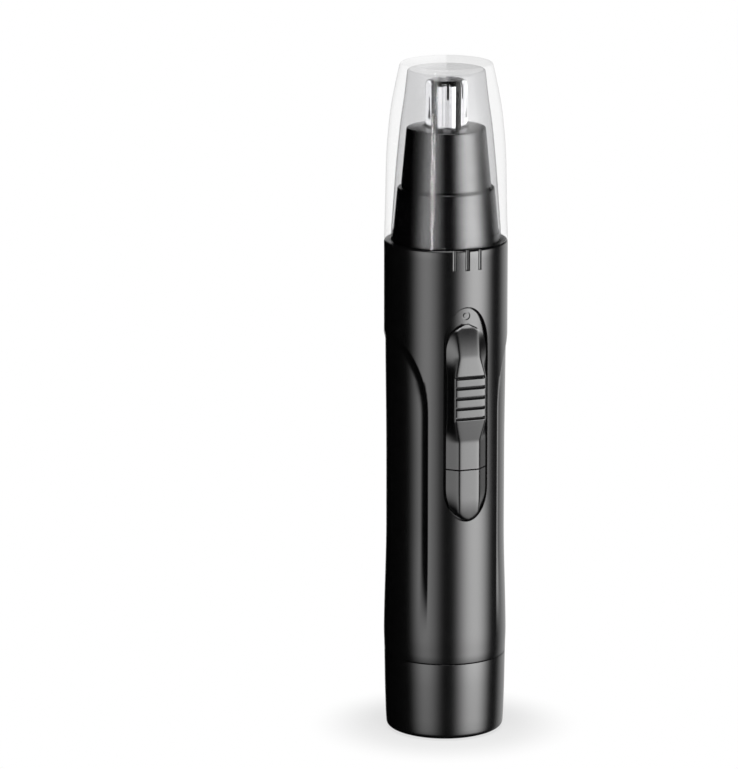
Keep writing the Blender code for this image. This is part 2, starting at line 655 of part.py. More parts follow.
def make_chassis():
    """Rear half-tube with bulkheads, and a cradle for the cell."""
    chassis = turned("chassis", [
        (CHASSIS_RADIUS, CHASSIS_BOTTOM),
        (CHASSIS_RADIUS, CHASSIS_TOP),
        (COUPLING_RADIUS + CLEARANCE, CHASSIS_TOP),
        (COUPLING_RADIUS + CLEARANCE, CHASSIS_TOP - BULKHEAD),
        (CHASSIS_INNER, CHASSIS_TOP - BULKHEAD),
        (CHASSIS_INNER, MOTOR_BULKHEAD + BULKHEAD),
        (BEARING_RADIUS + MOTOR_SHEET + 2 * CLEARANCE, MOTOR_BULKHEAD + BULKHEAD),
        (BEARING_RADIUS + MOTOR_SHEET + 2 * CLEARANCE, MOTOR_BULKHEAD),
        (CHASSIS_INNER, MOTOR_BULKHEAD),
        (CHASSIS_INNER, CELL_BULKHEAD + BULKHEAD),
        (CELL_NUB_RADIUS, CELL_BULKHEAD + BULKHEAD),
        (CELL_NUB_RADIUS, CELL_BULKHEAD),
        (SLEEVE_BORE, CELL_BULKHEAD),
        (SLEEVE_BORE, SLEEVE_BOTTOM),
        (SLEEVE_RADIUS, SLEEVE_BOTTOM),
        (SLEEVE_RADIUS, CHASSIS_BOTTOM),
    ], INNER_SEGMENTS)
    sleeve_bays = [(CHASSIS_BOTTOM + BULKHEAD, SLEEVE_BULKHEAD), (SLEEVE_BULKHEAD + BULKHEAD, CELL_BULKHEAD)]
    upper_bays = [(CELL_BULKHEAD + BULKHEAD, MOTOR_BULKHEAD), (MOTOR_BULKHEAD + BULKHEAD, CHASSIS_TOP - BULKHEAD)]
    reach = CHASSIS_RADIUS + MM
    for low, high in sleeve_bays:
        cut(chassis, ring("bay", SLEEVE_RADIUS, CHASSIS_INNER, low, high))
    for low, high in sleeve_bays + upper_bays:
        cut(chassis, box("front_opening", (-reach, -reach, low), (reach, -3 * MM, high)))
    bed_low = WINDOW_BOTTOM - BED_MARGIN - CLEARANCE
    bed_high = WINDOW_TOP + BED_MARGIN + CLEARANCE
    seat = BED_HALF_WIDTH + CLEARANCE
    cut(chassis, box("bed_seat", (-seat, -reach, bed_low), (seat, -BED_BACK + CLEARANCE, bed_high)))
    strip_room = STRIP_EDGE + CLEARANCE
    strip_low = min(bed_low, POSITIVE_PLATE - CLEARANCE)
    cut(chassis, box("strip_room", (-strip_room, -reach, strip_low), (strip_room, -STRIP_INNER + CLEARANCE, bed_high)))
    cut(chassis, box("strip_slot", (NEGATIVE_STRIP - CLEARANCE, -1.8 * MM, 0),
                     (NEGATIVE_STRIP + SHEET + CLEARANCE, 1.8 * MM, MOTOR_BOTTOM)))
    for place in screw_places():
        boss = prism("boss", circle_outline((place, 0), SCREW_BOSS_RADIUS, 16),
                     CHASSIS_TOP - SCREW_BOSS_LENGTH, CHASSIS_TOP - BULKHEAD / 2)
        add(chassis, boss)
        cut(chassis, prism("screw_hole", circle_outline((place, 0), SCREW_RADIUS + CLEARANCE, 12),
                           CHASSIS_TOP - SCREW_BOSS_LENGTH - MM, CHASSIS_TOP + MM))
    dress(chassis, inner_plastic())


def make_positive_contact():
    half = 4.0 * MM
    front = STRIP_INNER - CLEARANCE
    outline = [(-half, half), (-half, -half), (STRIP_EDGE - STRIP_LEG - MM, -half),
               (STRIP_EDGE - STRIP_LEG - MM, -front), (STRIP_EDGE, -front), (STRIP_EDGE, -half), (half, half)]
    contact = prism("positive_contact", outline, POSITIVE_PLATE, POSITIVE_PLATE + SHEET)
    dress(contact, nickel_sheet())


def make_negative_strip():
    """Runs up outside the cell's cradle and over to the motor's terminal."""
    half = 1.5 * MM
    top = CELL_BULKHEAD + BULKHEAD + CLEARANCE
    outline = [
        (NEGATIVE_STRIP, CAP_PLATE_BOTTOM + SHEET + CLEARANCE),
        (NEGATIVE_STRIP + SHEET, CAP_PLATE_BOTTOM + SHEET + CLEARANCE),
        (NEGATIVE_STRIP + SHEET, top + SHEET),
        (TERMINAL_OFFSET - SHEET, top + SHEET),
        (TERMINAL_OFFSET - SHEET, top),
        (NEGATIVE_STRIP, top),
    ]
    strip = prism("negative_strip", outline, -half, half, "Y")
    dress(strip, nickel_sheet())


# ---------------------------------------------------------------- switch
def facet_section(half_width, facet, top, underside, height):
    """One ring of the slider: curved underside, upright edges, sloping sides and a centre facet."""
    edge = math.sqrt(BODY_RADIUS ** 2 - half_width ** 2)
    points = []
    for share in (-1, -0.5, 0, 0.5, 1):
        across = half_width * share
        points.append((across, -math.sqrt(underside ** 2 - across ** 2), height))
    points += [(half_width, -edge, height), (facet, -top, height), (-facet, -top, height),
               (-half_width, -edge, height)]
    return points


def tongue_share(height):
    """0 at the slider's top end, 1 where its centre facet reaches its full height."""
    reach = SLIDER_TOP - (SLIDER_BOTTOM + PAD_START + PAD_LENGTH)
    return min(1.0, max(0.0, (SLIDER_TOP - height) / reach))


def slider_half_width(height):
    arch_base = SLIDER_TOP - SLIDER_ARCH
    if height <= arch_base:
        return SLIDER_HALF_WIDTH
    share = min(0.985, (height - arch_base) / SLIDER_ARCH)
    return SLIDER_HALF_WIDTH * math.sqrt(1 - share ** 2)


def pad_bulge(height):
    """0 off the grip pad, rising to 1 along its middle."""
    share = (height - SLIDER_BOTTOM - PAD_START) / PAD_LENGTH
    if share <= 0 or share >= 1:
        return 0.0
    return math.sin(math.pi * share) ** 0.75


def slider_section(height):
    half_width = slider_half_width(height)
    rise = math.sin(math.pi / 2 * tongue_share(height))
    top = BODY_RADIUS - 0.05 * MM + (SLIDER_RISE + 0.05 * MM) * rise + PAD_RISE * pad_bulge(height)
    facet = SLIDER_FACET + (PAD_HALF_WIDTH - SLIDER_FACET) * pad_bulge(height)
    return facet_section(half_width, min(facet, half_width * 0.8), top, SLIDER_UNDERSIDE, height)


def slider_levels():
    pad_low = SLIDER_BOTTOM + PAD_START
    pad_high = pad_low + PAD_LENGTH
    levels = [SLIDER_BOTTOM]
    levels += [pad_low + PAD_LENGTH * share for share in (0, 0.08, 0.2, 0.35, 0.5, 0.65, 0.8, 0.92, 1)]
    levels += [pad_high + (SLIDER_TOP - pad_high) * share for share in (0.25, 0.5, 0.7, 0.85, 0.95, 1)]
    return levels


def make_switch_slider(joint):
    slider = lofted("switch_slider", [slider_section(height) for height in slider_levels()])
    middle = SLIDER_BOTTOM + PAD_START + PAD_LENGTH / 2 + 0.4 * MM
    surface = BODY_RADIUS + SLIDER_RISE + PAD_RISE
    for index in range(PAD_GROOVES):
        height = middle + (index - (PAD_GROOVES - 1) / 2) * PAD_GROOVE_PITCH
        reach = SLIDER_FACET + (PAD_HALF_WIDTH - SLIDER_FACET) * pad_bulge(height) - 0.35 * MM
        outline = circle_outline((-surface, height), PAD_GROOVE_RADIUS, 8)
        cut(slider, prism("groove", outline, -reach, reach, "X"))
    shank = box("shank", (-SHANK_HALF_WIDTH, -SLIDER_UNDERSIDE - 0.5 * MM, SHANK_BOTTOM),
                (SHANK_HALF_WIDTH, -CARRIAGE_INNER - CLEARANCE, SHANK_TOP))
    add(slider, shank)
    dress(slider, black_plastic(), joint)


def tail_section(height):
    share = (height - WINDOW_BOTTOM) / TAIL_LENGTH
    outline_share = min(1.0, (WINDOW_STRAIGHT_BASE - height) / (WINDOW_BOTTOM_ARCH - CLEARANCE))
    half_width = SLIDER_HALF_WIDTH
    if outline_share > 0:
        half_width = SLIDER_HALF_WIDTH * math.sqrt(max(0.02, 1 - outline_share ** 2))
    rise = math.sin(math.pi / 2 * min(1.0, share / 0.68))
    top = BODY_RADIUS - 0.05 * MM + (SLIDER_RISE + 0.05 * MM) * rise
    facet = min(SLIDER_FACET, half_width * 0.8)
    return facet_section(half_width, facet, top, BED_SURFACE - 0.5 * MM, height)


def make_switch_bed():
    """Fills the window, carries the slider and has the fixed tail below it."""
    low = WINDOW_BOTTOM - BED_MARGIN
    high = WINDOW_TOP + BED_MARGIN
    bed = box("switch_bed", (-BED_HALF_WIDTH, -CHASSIS_RADIUS - MM, low), (BED_HALF_WIDTH, -BED_BACK, high))
    keep(bed, prism("bore_round", circle_outline((0, 0), CHASSIS_RADIUS, OUTER_SEGMENTS), low - MM, high + MM))
    plug = prism("plug", window_outline(CLEARANCE), -BODY_RADIUS - MM, -BED_BACK - MM, "Y")
    keep(plug, prism("bed_round", circle_outline((0, 0), BED_SURFACE, OUTER_SEGMENTS), low, high))
    add(bed, plug)
    start = WINDOW_BOTTOM + CLEARANCE + 0.15 * MM
    levels = [start + (TAIL_TOP - start) * share for share in (0, 0.06, 0.15, 0.3, 0.45, 0.6, 0.8, 1)]
    add(bed, lofted("tail", [tail_section(height) for height in levels]))
    cut(bed, box("channel", (-CHANNEL_HALF_WIDTH, -CHANNEL_FLOOR, CARRIAGE_BOTTOM - 2 * MM),
                 (CHANNEL_HALF_WIDTH, 0, CARRIAGE_TOP + SLIDER_TRAVEL + 2 * MM)))
    cut(bed, box("shank_slot", (-SHANK_HALF_WIDTH - CLEARANCE, -BODY_RADIUS - MM, SHANK_BOTTOM - CLEARANCE),
                 (SHANK_HALF_WIDTH + CLEARANCE, 0, SHANK_TOP + SLIDER_TRAVEL + CLEARANCE)))
    dress(bed, black_plastic())


def make_slider_carriage(joint):
    carriage = box("slider_carriage", (-CARRIAGE_HALF_WIDTH, -CARRIAGE_OUTER, CARRIAGE_BOTTOM),
                   (CARRIAGE_HALF_WIDTH, -CARRIAGE_INNER, CARRIAGE_TOP))
    cut(carriage, box("shank_pocket",
                      (-SHANK_HALF_WIDTH - CLEARANCE, -CARRIAGE_OUTER - MM, SHANK_BOTTOM - CLEARANCE),
                      (SHANK_HALF_WIDTH + CLEARANCE, -CARRIAGE_INNER - 0.05 * MM, SHANK_TOP + CLEARANCE)))
    dress(carriage, dark_inner_plastic(), joint)


def make_moving_contact(joint):
    """A sprung bridge across the two fixed strips, which also gives the click."""
    half = STRIP_EDGE - STRIP_LEG - CLEARANCE
    bow = 0.2 * MM
    outline = [(-half, -BRIDGE_OUTER), (-half, -BRIDGE_INNER)]
    outline += [(0, -BRIDGE_INNER - bow), (half, -BRIDGE_INNER)]
    outline += [(half, -BRIDGE_OUTER), (0, -BRIDGE_OUTER - bow)]
    bridge = prism("moving_contact", outline, BRIDGE_BOTTOM, BRIDGE_TOP)
    dress(bridge, bronze(), joint)


def make_fixed_contacts():
    battery_outline = [
        (STRIP_EDGE - STRIP_LEG, POSITIVE_PLATE), (STRIP_EDGE, POSITIVE_PLATE),
        (STRIP_EDGE, SWITCHED_TOP), (STRIP_TONGUE, SWITCHED_TOP),
        (STRIP_TONGUE, BRIDGE_BOTTOM - 0.5 * MM), (STRIP_EDGE - STRIP_LEG, BRIDGE_BOTTOM - 0.5 * MM),
    ]
    battery = prism("switch_contact_battery", battery_outline, -STRIP_OUTER, -STRIP_INNER, "Y")
    dress(battery, bronze())
    arm = CELL_BULKHEAD + BULKHEAD + CLEARANCE
    outer = TERMINAL_OFFSET + SHEET
    motor_outline = [
        (-outer, arm), (-STRIP_EDGE + STRIP_LEG, arm),
        (-STRIP_EDGE + STRIP_LEG, SWITCHED_START), (-STRIP_TONGUE, SWITCHED_START),
        (-STRIP_TONGUE, SWITCHED_TOP), (-STRIP_EDGE, SWITCHED_TOP),
        (-STRIP_EDGE, arm + MM), (-outer, arm + MM),
    ]
    motor = prism("switch_contact_motor", motor_outline, -STRIP_OUTER, -STRIP_INNER, "Y")
    add(motor, box("arm", (-outer, -STRIP_OUTER + SHEET / 2, arm),
                   (-TERMINAL_OFFSET + 2 * SHEET, TERMINAL_HALF_WIDTH, arm + SHEET)))
    dress(motor, bronze())


# ---------------------------------------------------------------- motor
def flat_round(radius, half_flat, steps=10):
    """A circle with two flats across Y, as (x, y)."""
    angle = math.degrees(math.asin(half_flat / radius))
    right = arc((0, 0), (radius, radius), -angle, angle, steps)
    left = arc((0, 0), (radius, radius), 180 - angle, 180 + angle, steps)
    return right + left


def make_motor_can():
    can = prism("motor_can", flat_round(MOTOR_RADIUS, MOTOR_HALF_FLAT), CAN_BOTTOM, MOTOR_TOP)
    boss_radius = BEARING_RADIUS + CLEARANCE + MOTOR_SHEET
    add(can, prism("boss", circle_outline((0, 0), boss_radius, SMALL_SEGMENTS), MOTOR_TOP - 0.3 * MM, BOSS_TOP))
    inside = flat_round(MOTOR_RADIUS - MOTOR_SHEET, MOTOR_HALF_FLAT - MOTOR_SHEET)
    cut(can, prism("inside", inside, CAN_BOTTOM - MM, MOTOR_TOP - MOTOR_SHEET))
    hole = circle_outline((0, 0), BEARING_RADIUS + CLEARANCE, SMALL_SEGMENTS)
    cut(can, prism("bearing_hole", hole, MOTOR_TOP - 2 * MM, BOSS_TOP + MM))
    dress(can, plain_steel())


def make_motor_end_bell():
    bell = prism("motor_end_bell", flat_round(MOTOR_RADIUS, MOTOR_HALF_FLAT), MOTOR_BOTTOM,
                 MOTOR_BOTTOM + END_BELL_HEIGHT)
    inset = MOTOR_SHEET + CLEARANCE
    add(bell, prism("plug", flat_round(MOTOR_RADIUS - inset, MOTOR_HALF_FLAT - inset),
                    MOTOR_BOTTOM + END_BELL_HEIGHT / 2, BRUSH_LEVEL))
    pocket = circle_outline((0, 0), BEARING_RADIUS + CLEARANCE, SMALL_SEGMENTS)
    cut(bell, prism("bearing_pocket", pocket, MOTOR_BOTTOM + MM, BRUSH_LEVEL + MM))
    half = TERMINAL_HALF_WIDTH + CLEARANCE
    for side in (-1, 1):
        near = side * (TERMINAL_OFFSET - SHEET - CLEARANCE)
        far = side * (TERMINAL_OFFSET + SHEET + CLEARANCE)
        cut(bell, box("terminal_slot", (min(near, far), -half, MOTOR_BOTTOM - MM),
                      (max(near, far), half, BRUSH_LEVEL + MM)))
    dress(bell, inner_plastic())


def make_motor_bearings():
    bore = SHAFT_RADIUS + CLEARANCE
    front = ring("motor_front_bearing", bore, BEARING_RADIUS, MOTOR_TOP - 1.2 * MM, BOSS_TOP - 0.2 * MM,
                 SMALL_SEGMENTS)
    dress(front, bronze())
    rear = ring("motor_rear_bearing", bore, BEARING_RADIUS, MOTOR_BOTTOM + 1.3 * MM, BRUSH_LEVEL - 0.6 * MM,
                SMALL_SEGMENTS)
    dress(rear, bronze())


def make_motor_terminals():
    for side, name in ((-1, "motor_terminal_left"), (1, "motor_terminal_right")):
        low = side * TERMINAL_OFFSET - SHEET
        blade = box(name, (low, -TERMINAL_HALF_WIDTH, TERMINAL_BOTTOM),
                    (low + 2 * SHEET, TERMINAL_HALF_WIDTH, BRUSH_LEVEL - 0.05 * MM))
        dress(blade, nickel_sheet())


def make_brushes():
    """Sprung leaves that press on the commutator from both sides."""
    level = BRUSH_LEVEL + CLEARANCE
    leaf = COMMUTATOR_RADIUS + CLEARANCE
    for side, name in ((-1, "brush_left"), (1, "brush_right")):
        outline = [(side * leaf, level), (side * (TERMINAL_OFFSET + SHEET), level),
                   (side * (TERMINAL_OFFSET + SHEET), level + SHEET), (side * (leaf + SHEET), level + SHEET),
                   (side * (leaf + SHEET), level + COMMUTATOR_LENGTH - 0.6 * MM),
                   (side * leaf, level + COMMUTATOR_LENGTH - 0.6 * MM)]
        brush = prism(name, outline, -TERMINAL_HALF_WIDTH, TERMINAL_HALF_WIDTH, "Y")
        dress(brush, copper())


def make_magnets():
    outer = MOTOR_RADIUS - MOTOR_SHEET - CLEARANCE
    low = ARMATURE_LOW - 1.0 * MM
    high = ARMATURE_HIGH + 0.6 * MM
    spread = math.asin((MOTOR_HALF_FLAT - MOTOR_SHEET - CLEARANCE) / outer) * 0.95
    for middle, name in ((math.pi, "magnet_left"), (0, "magnet_right")):
        magnet = ring_sector(name, outer - MAGNET_THICKNESS, outer, low, high, middle - spread, middle + spread, 8)
        dress(magnet, ferrite())


def make_motor_shaft(joint):
    tip = 0.2 * MM
    top = MOTOR_TOP + SHAFT_OVERHANG
    low = MOTOR_BOTTOM + MM + CLEARANCE
    shaft = turned("motor_shaft", [(0, low), (SHAFT_RADIUS, low), (SHAFT_RADIUS, top - tip),
                                   (SHAFT_RADIUS - tip, top), (0, top)], SMALL_SEGMENTS)
    dress(shaft, polished_steel(), joint)


def pole_angles():
    return [2 * math.pi * index / POLES + math.pi / 2 for index in range(POLES)]


def turned_block(name, low, high, angle):
    """A block given along +X, turned about Z."""
    corners = [(low[0], low[1]), (high[0], low[1]), (high[0], high[1]), (low[0], high[1])]
    outline = [(x * math.cos(angle) - y * math.sin(angle), x * math.sin(angle) + y * math.cos(angle))
               for x, y in corners]
    return prism(name, outline, low[2], high[2])


def make_armature(joint):
    core = prism("armature_core", circle_outline((0, 0), HUB_RADIUS, SMALL_SEGMENTS), ARMATURE_LOW, ARMATURE_HIGH)
    for angle in pole_angles():
        add(core, turned_block("neck", (HUB_RADIUS / 2, -POLE_NECK, ARMATURE_LOW),
                               (ARMATURE_RADIUS - POLE_SHOE / 2, POLE_NECK, ARMATURE_HIGH), angle))
        add(core, ring_sector("shoe", ARMATURE_RADIUS - POLE_SHOE, ARMATURE_RADIUS, ARMATURE_LOW, ARMATURE_HIGH,
                              angle - math.radians(50), angle + math.radians(50), 8))
    bore = circle_outline((0, 0), SHAFT_RADIUS + CLEARANCE, SMALL_SEGMENTS)
    cut(core, prism("bore", bore, ARMATURE_LOW - MM, ARMATURE_HIGH + MM))
    dress(core, plain_steel(), joint)

    inner = HUB_RADIUS + CLEARANCE
    width = POLE_NECK + CLEARANCE
    outer = math.sqrt((ARMATURE_RADIUS - POLE_SHOE - CLEARANCE) ** 2 - (width + MM) ** 2)
    for number, angle in enumerate(pole_angles(), 1):
        winding = turned_block(f"armature_winding_{number}", (inner, -width - MM, ARMATURE_LOW - 1.1 * MM),
                               (outer, width + MM, ARMATURE_HIGH + 1.1 * MM), angle)
        cut(winding, turned_block("neck_room", (0, -width, ARMATURE_LOW - CLEARANCE),
                                  (ARMATURE_RADIUS, width, ARMATURE_HIGH + CLEARANCE), angle))
        dress(winding, copper(), joint)

    low = BRUSH_LEVEL + CLEARANCE
    commutator = ring("commutator", SHAFT_RADIUS + CLEARANCE, COMMUTATOR_RADIUS, low, low + COMMUTATOR_LENGTH,
                      SMALL_SEGMENTS)
    dress(commutator, copper(), joint)


# ---------------------------------------------------------------- drive
def make_drive_coupling(joint):
    coupling = turned("drive_coupling", [
        (0, MOTOR_TOP + SHAFT_OVERHANG + CLEARANCE),
        (SHAFT_RADIUS + CLEARANCE, MOTOR_TOP + SHAFT_OVERHANG + CLEARANCE),
        (SHAFT_RADIUS + CLEARANCE, COUPLING_BOTTOM),
        (COUPLING_RADIUS, COUPLING_BOTTOM),
        (COUPLING_RADIUS, COUPLING_TOP - 0.4 * MM),
        (COUPLING_RADIUS - 0.4 * MM, COUPLING_TOP),
        (0, COUPLING_TOP),
    ], INNER_SEGMENTS)
    half_width = TANG_HALF_WIDTH + CLEARANCE
    half_thickness = TANG_HALF_THICKNESS + CLEARANCE
    cut(coupling, box("slot", (-half_width, -half_thickness, COUPLING_TOP - COUPLING_SLOT_DEPTH),
                      (half_width, half_thickness, COUPLING_TOP + MM)))
    dress(coupling, dark_inner_plastic(), joint)


def make_blade_carrier(joint):
    start = COUPLING_TOP + CLEARANCE
    flange = CARRIER_RADIUS + 1.1 * MM
    carrier = turned("blade_carrier", [
        (0, start), (CARRIER_RADIUS, start),
        (CARRIER_RADIUS, CARRIER_FLANGE_BOTTOM), (flange, CARRIER_FLANGE_BOTTOM),
        (flange, CARRIER_FLANGE_TOP), (CARRIER_RADIUS, CARRIER_FLANGE_TOP),
        (CARRIER_RADIUS, CARRIER_TOP), (0, CARRIER_TOP),
    ], SMALL_SEGMENTS)
    tang_reach = min(TANG_HALF_WIDTH, CARRIER_RADIUS * 0.9)
    add(carrier, box("tang", (-tang_reach, -TANG_HALF_THICKNESS, CARRIER_BOTTOM),
                     (tang_reach, TANG_HALF_THICKNESS, start + MM)))
    dress(carrier, inner_plastic(), joint)


def make_rotary_blade(joint):
    reach = GUARD_RADIUS - GUARD_WALL - 0.35 * MM
    hub = circle_outline((0, 0), CARRIER_RADIUS * 0.75, SMALL_SEGMENTS)
    blade = prism("rotary_blade", hub, BLADE_BOTTOM, BLADE_BOTTOM + 2.0 * MM)
    bevel = GUARD_DOME - GUARD_WALL + 0.2 * MM
    outline = [(-reach, BLADE_BOTTOM), (reach, BLADE_BOTTOM), (reach, BLADE_TOP - bevel),
               (reach - bevel, BLADE_TOP), (-reach + bevel, BLADE_TOP), (-reach, BLADE_TOP - bevel)]
    half = BLADE_THICKNESS / 2
    add(blade, prism("fin", outline, -half, half, "Y"))
    add(blade, prism("fin", outline, -half, half, "X"))
    dress(blade, polished_steel(), joint)


def make_blade_spring(joint):
    wire = 0.28 * MM
    radius = CARRIER_RADIUS + CLEARANCE + wire
    spring = coil("blade_spring", lambda share: radius, COUPLING_TOP + CLEARANCE,
                  CARRIER_FLANGE_BOTTOM - CLEARANCE, 4.5, wire)
    dress(spring, plain_steel(), joint)


# ---------------------------------------------------------------- collar and head


def make_collar():
    """Lower cone, whose deck closes the handle below the head."""
    lip = 0.35 * MM
    ring_top = SHOULDER_HEIGHT + COLLAR_RING_HEIGHT
    outline = [
        (COLLAR_RADIUS, COLLAR_BOTTOM),
        (COLLAR_RADIUS, ring_top),
        (COLLAR_RADIUS - 0.12 * MM, ring_top + 0.1 * MM),
        (COLLAR_RADIUS - 0.3 * MM, ring_top + 1.3 * MM),
        (COLLAR_TOP_RADIUS, COLLAR_TOP - lip),
        (COLLAR_TOP_RADIUS - lip * 0.3, COLLAR_TOP - lip * 0.3),
        (COLLAR_TOP_RADIUS - lip, COLLAR_TOP),
        (COLLAR_BORE, COLLAR_TOP),
        (COLLAR_BORE, DECK_TOP),
        (COUPLING_RADIUS + 0.4 * MM, DECK_TOP),
        (COUPLING_RADIUS + 0.4 * MM, DECK_BOTTOM),
        (COLLAR_RADIUS - 1.2 * MM, DECK_BOTTOM),
        (COLLAR_RADIUS - 1.2 * MM, COLLAR_BOTTOM),
    ]
    collar = turned("collar", outline)
    for place in screw_places():
        cut(collar, prism("screw_hole", circle_outline((place, 0), SCREW_RADIUS + CLEARANCE, 12),
                          DECK_BOTTOM - MM, DECK_TOP + MM))
    add(collar, *bayonet_lugs(COLLAR_BORE - LUG_REACH, COLLAR_BORE, HEAD_LUG_LEVEL))
    dress(collar, black_plastic())


def make_collar_screws():
    under_head = DECK_TOP + CLEARANCE
    for name, place in zip(("collar_screw_left", "collar_screw_right"), screw_places()):
        screw = prism(name, circle_outline((place, 0), SCREW_RADIUS, 12), under_head - SCREW_LENGTH,
                      under_head + SCREW_HEAD_HEIGHT / 2)
        head = prism("head", circle_outline((place, 0), SCREW_HEAD_RADIUS, 16), under_head,
                     under_head + SCREW_HEAD_HEIGHT)
        add(screw, head)
        for long_side, short_side in ((1.1 * MM, 0.22 * MM), (0.22 * MM, 1.1 * MM)):
            cut(screw, box("drive", (place - long_side, -short_side, under_head + SCREW_HEAD_HEIGHT * 0.4),
                           (place + long_side, short_side, under_head + SCREW_HEAD_HEIGHT + MM)))
        dress(screw, plain_steel())


def make_shaft_seal():
    """Lip seal round the coupling, between the chassis and the collar's deck."""
    low = CHASSIS_TOP + 0.2 * MM
    high = DECK_BOTTOM - 0.2 * MM
    inner = COUPLING_RADIUS + 0.2 * MM
    outer = SCREW_OFFSET - SCREW_RADIUS - CLEARANCE
    seal = turned("shaft_seal", [(inner, low), (inner + 0.5 * MM, low), (outer, low + 0.3 * MM),
                                 (outer, high), (inner + 0.6 * MM, high), (inner, low + 0.5 * MM)],
                  INNER_SEGMENTS)
    dress(seal, seal_rubber())


def make_head_cone(joint):
    edge = 0.35 * MM
    seat_radius = GUARD_RADIUS + 0.9 * MM
    hole = GUARD_RADIUS + CLEARANCE
    shoulder = GUARD_FLANGE_TOP + CLEARANCE
    groove = SKIRT_RADIUS - SEAL_GROOVE_DEPTH * 0.8
    outline = [
        (SKIRT_RADIUS, SKIRT_BOTTOM),
        (SKIRT_RADIUS, HEAD_SEAL_LEVEL - SEAL_HALF_HEIGHT),
        (groove, HEAD_SEAL_LEVEL - SEAL_HALF_HEIGHT),
        (groove, HEAD_SEAL_LEVEL + SEAL_HALF_HEIGHT),
        (SKIRT_RADIUS, HEAD_SEAL_LEVEL + SEAL_HALF_HEIGHT),
        (SKIRT_RADIUS, HEAD_BOTTOM),
        (HEAD_BASE_RADIUS, HEAD_BOTTOM),
        (HEAD_BASE_RADIUS, HEAD_BOTTOM + 0.3 * MM),
    ]
    outline += arc((HEAD_TOP_RADIUS - edge, HEAD_TOP - edge), (edge, edge), 0, 90, 4)
    outline += [
        (seat_radius, HEAD_TOP),
        (seat_radius - 0.3 * MM, HEAD_TOP - 0.5 * MM),
        (hole, HEAD_TOP - 0.5 * MM),
        (hole, shoulder),
        (INSERT_BORE, shoulder),
        (INSERT_BORE, BUSH_BOTTOM - MM),
        (SKIRT_BORE, BUSH_BOTTOM - 3 * MM),
        (SKIRT_BORE, SKIRT_BOTTOM),
    ]
    cone = turned("head_cone", outline)
    floor_radius = COLLAR_BORE - LUG_REACH - CLEARANCE
    cut(cone, *bayonet_slots(floor_radius, SKIRT_RADIUS, HEAD_LUG_LEVEL, SKIRT_BOTTOM - MM))
    dress(cone, black_plastic(), joint)
    seal = seal_ring("head_seal", groove + 0.15 * MM, COLLAR_BORE - 0.15 * MM, HEAD_SEAL_LEVEL)
    dress(seal, seal_rubber(), joint)


def make_head_bush(joint):
    bush = ring("head_bush", CARRIER_RADIUS + CLEARANCE, GUARD_FLANGE_RADIUS, BUSH_BOTTOM, BUSH_TOP)
    dress(bush, inner_plastic(), joint)


def make_cutter_guard(joint):
    """Steel cup with radial slots over its domed end."""
    top_flat = GUARD_RADIUS - GUARD_DOME
    inner = GUARD_RADIUS - GUARD_WALL
    inner_dome = GUARD_DOME - GUARD_WALL
    outline = [(GUARD_FLANGE_RADIUS, GUARD_FLANGE_BOTTOM), (GUARD_FLANGE_RADIUS, GUARD_FLANGE_TOP),
               (GUARD_RADIUS, GUARD_FLANGE_TOP)]
    outline += arc((top_flat, GUARD_TOP - GUARD_DOME), (GUARD_DOME, GUARD_DOME), 0, 90, 4)
    outline += [(0, GUARD_TOP)]
    inside = arc((top_flat, GUARD_TOP - GUARD_DOME), (inner_dome, inner_dome), 90, 0, 3)
    lower = [(0, GUARD_TOP - GUARD_WALL)] + inside + [(inner, GUARD_FLANGE_BOTTOM)]
    guard = turned("cutter_guard", lower + outline, INNER_SEGMENTS)
    start = GUARD_TOP - GUARD_SLOT_DEPTH
    for index in range(GUARD_SLOTS):
        angle = -math.pi / 2 + GUARD_SLOT_TURN + 2 * math.pi * index / GUARD_SLOTS
        half = GUARD_SLOT_WIDTH / 2
        cut(guard, turned_block("slot", (1.1 * MM, -half, start), (GUARD_RADIUS + MM, half, GUARD_TOP + MM), angle))
    dress(guard, polished_steel(), joint)


# ---------------------------------------------------------------- protective cap
def cap_profile():
    """Outer and inner (radius, share of the cap's height) of the tapering cap."""
    outer = [(1.0, 0.0), (0.985, 0.145), (0.965, 0.51), (0.9, 0.74), (0.819, 0.885)]
    inner = [(0.892, 0.0), (0.888, 0.05), (0.811, 0.42), (0.743, 0.66), (0.681, 0.80)]
    return outer, inner


def make_protective_cap(joint):
    outer, inner = cap_profile()
    top_radius = BODY_RADIUS * 0.747
    edge = 0.5 * MM
    mouth = BODY_RADIUS - CAP_MOUTH_WALL
    outline = [(BODY_RADIUS * radius, CAP_BOTTOM + CAP_HEIGHT * share) for radius, share in outer]
    outline += arc((top_radius - edge, CAP_TOP - edge), (edge, edge), 0, 90, 3)
    outline += [(0, CAP_TOP)]
    ceiling = CAP_TOP - CAP_TOP_THICKNESS
    inside = [(mouth * radius / inner[0][0], CAP_BOTTOM + CAP_HEIGHT * share) for radius, share in inner]
    inside += [(mouth * 0.628 / inner[0][0], ceiling - 0.5 * MM), (mouth * 0.59 / inner[0][0], ceiling)]
    outline = [(0, ceiling)] + inside[::-1] + outline
    cap = turned("protective_cap", outline)
    dress(cap, clear_plastic(), joint)


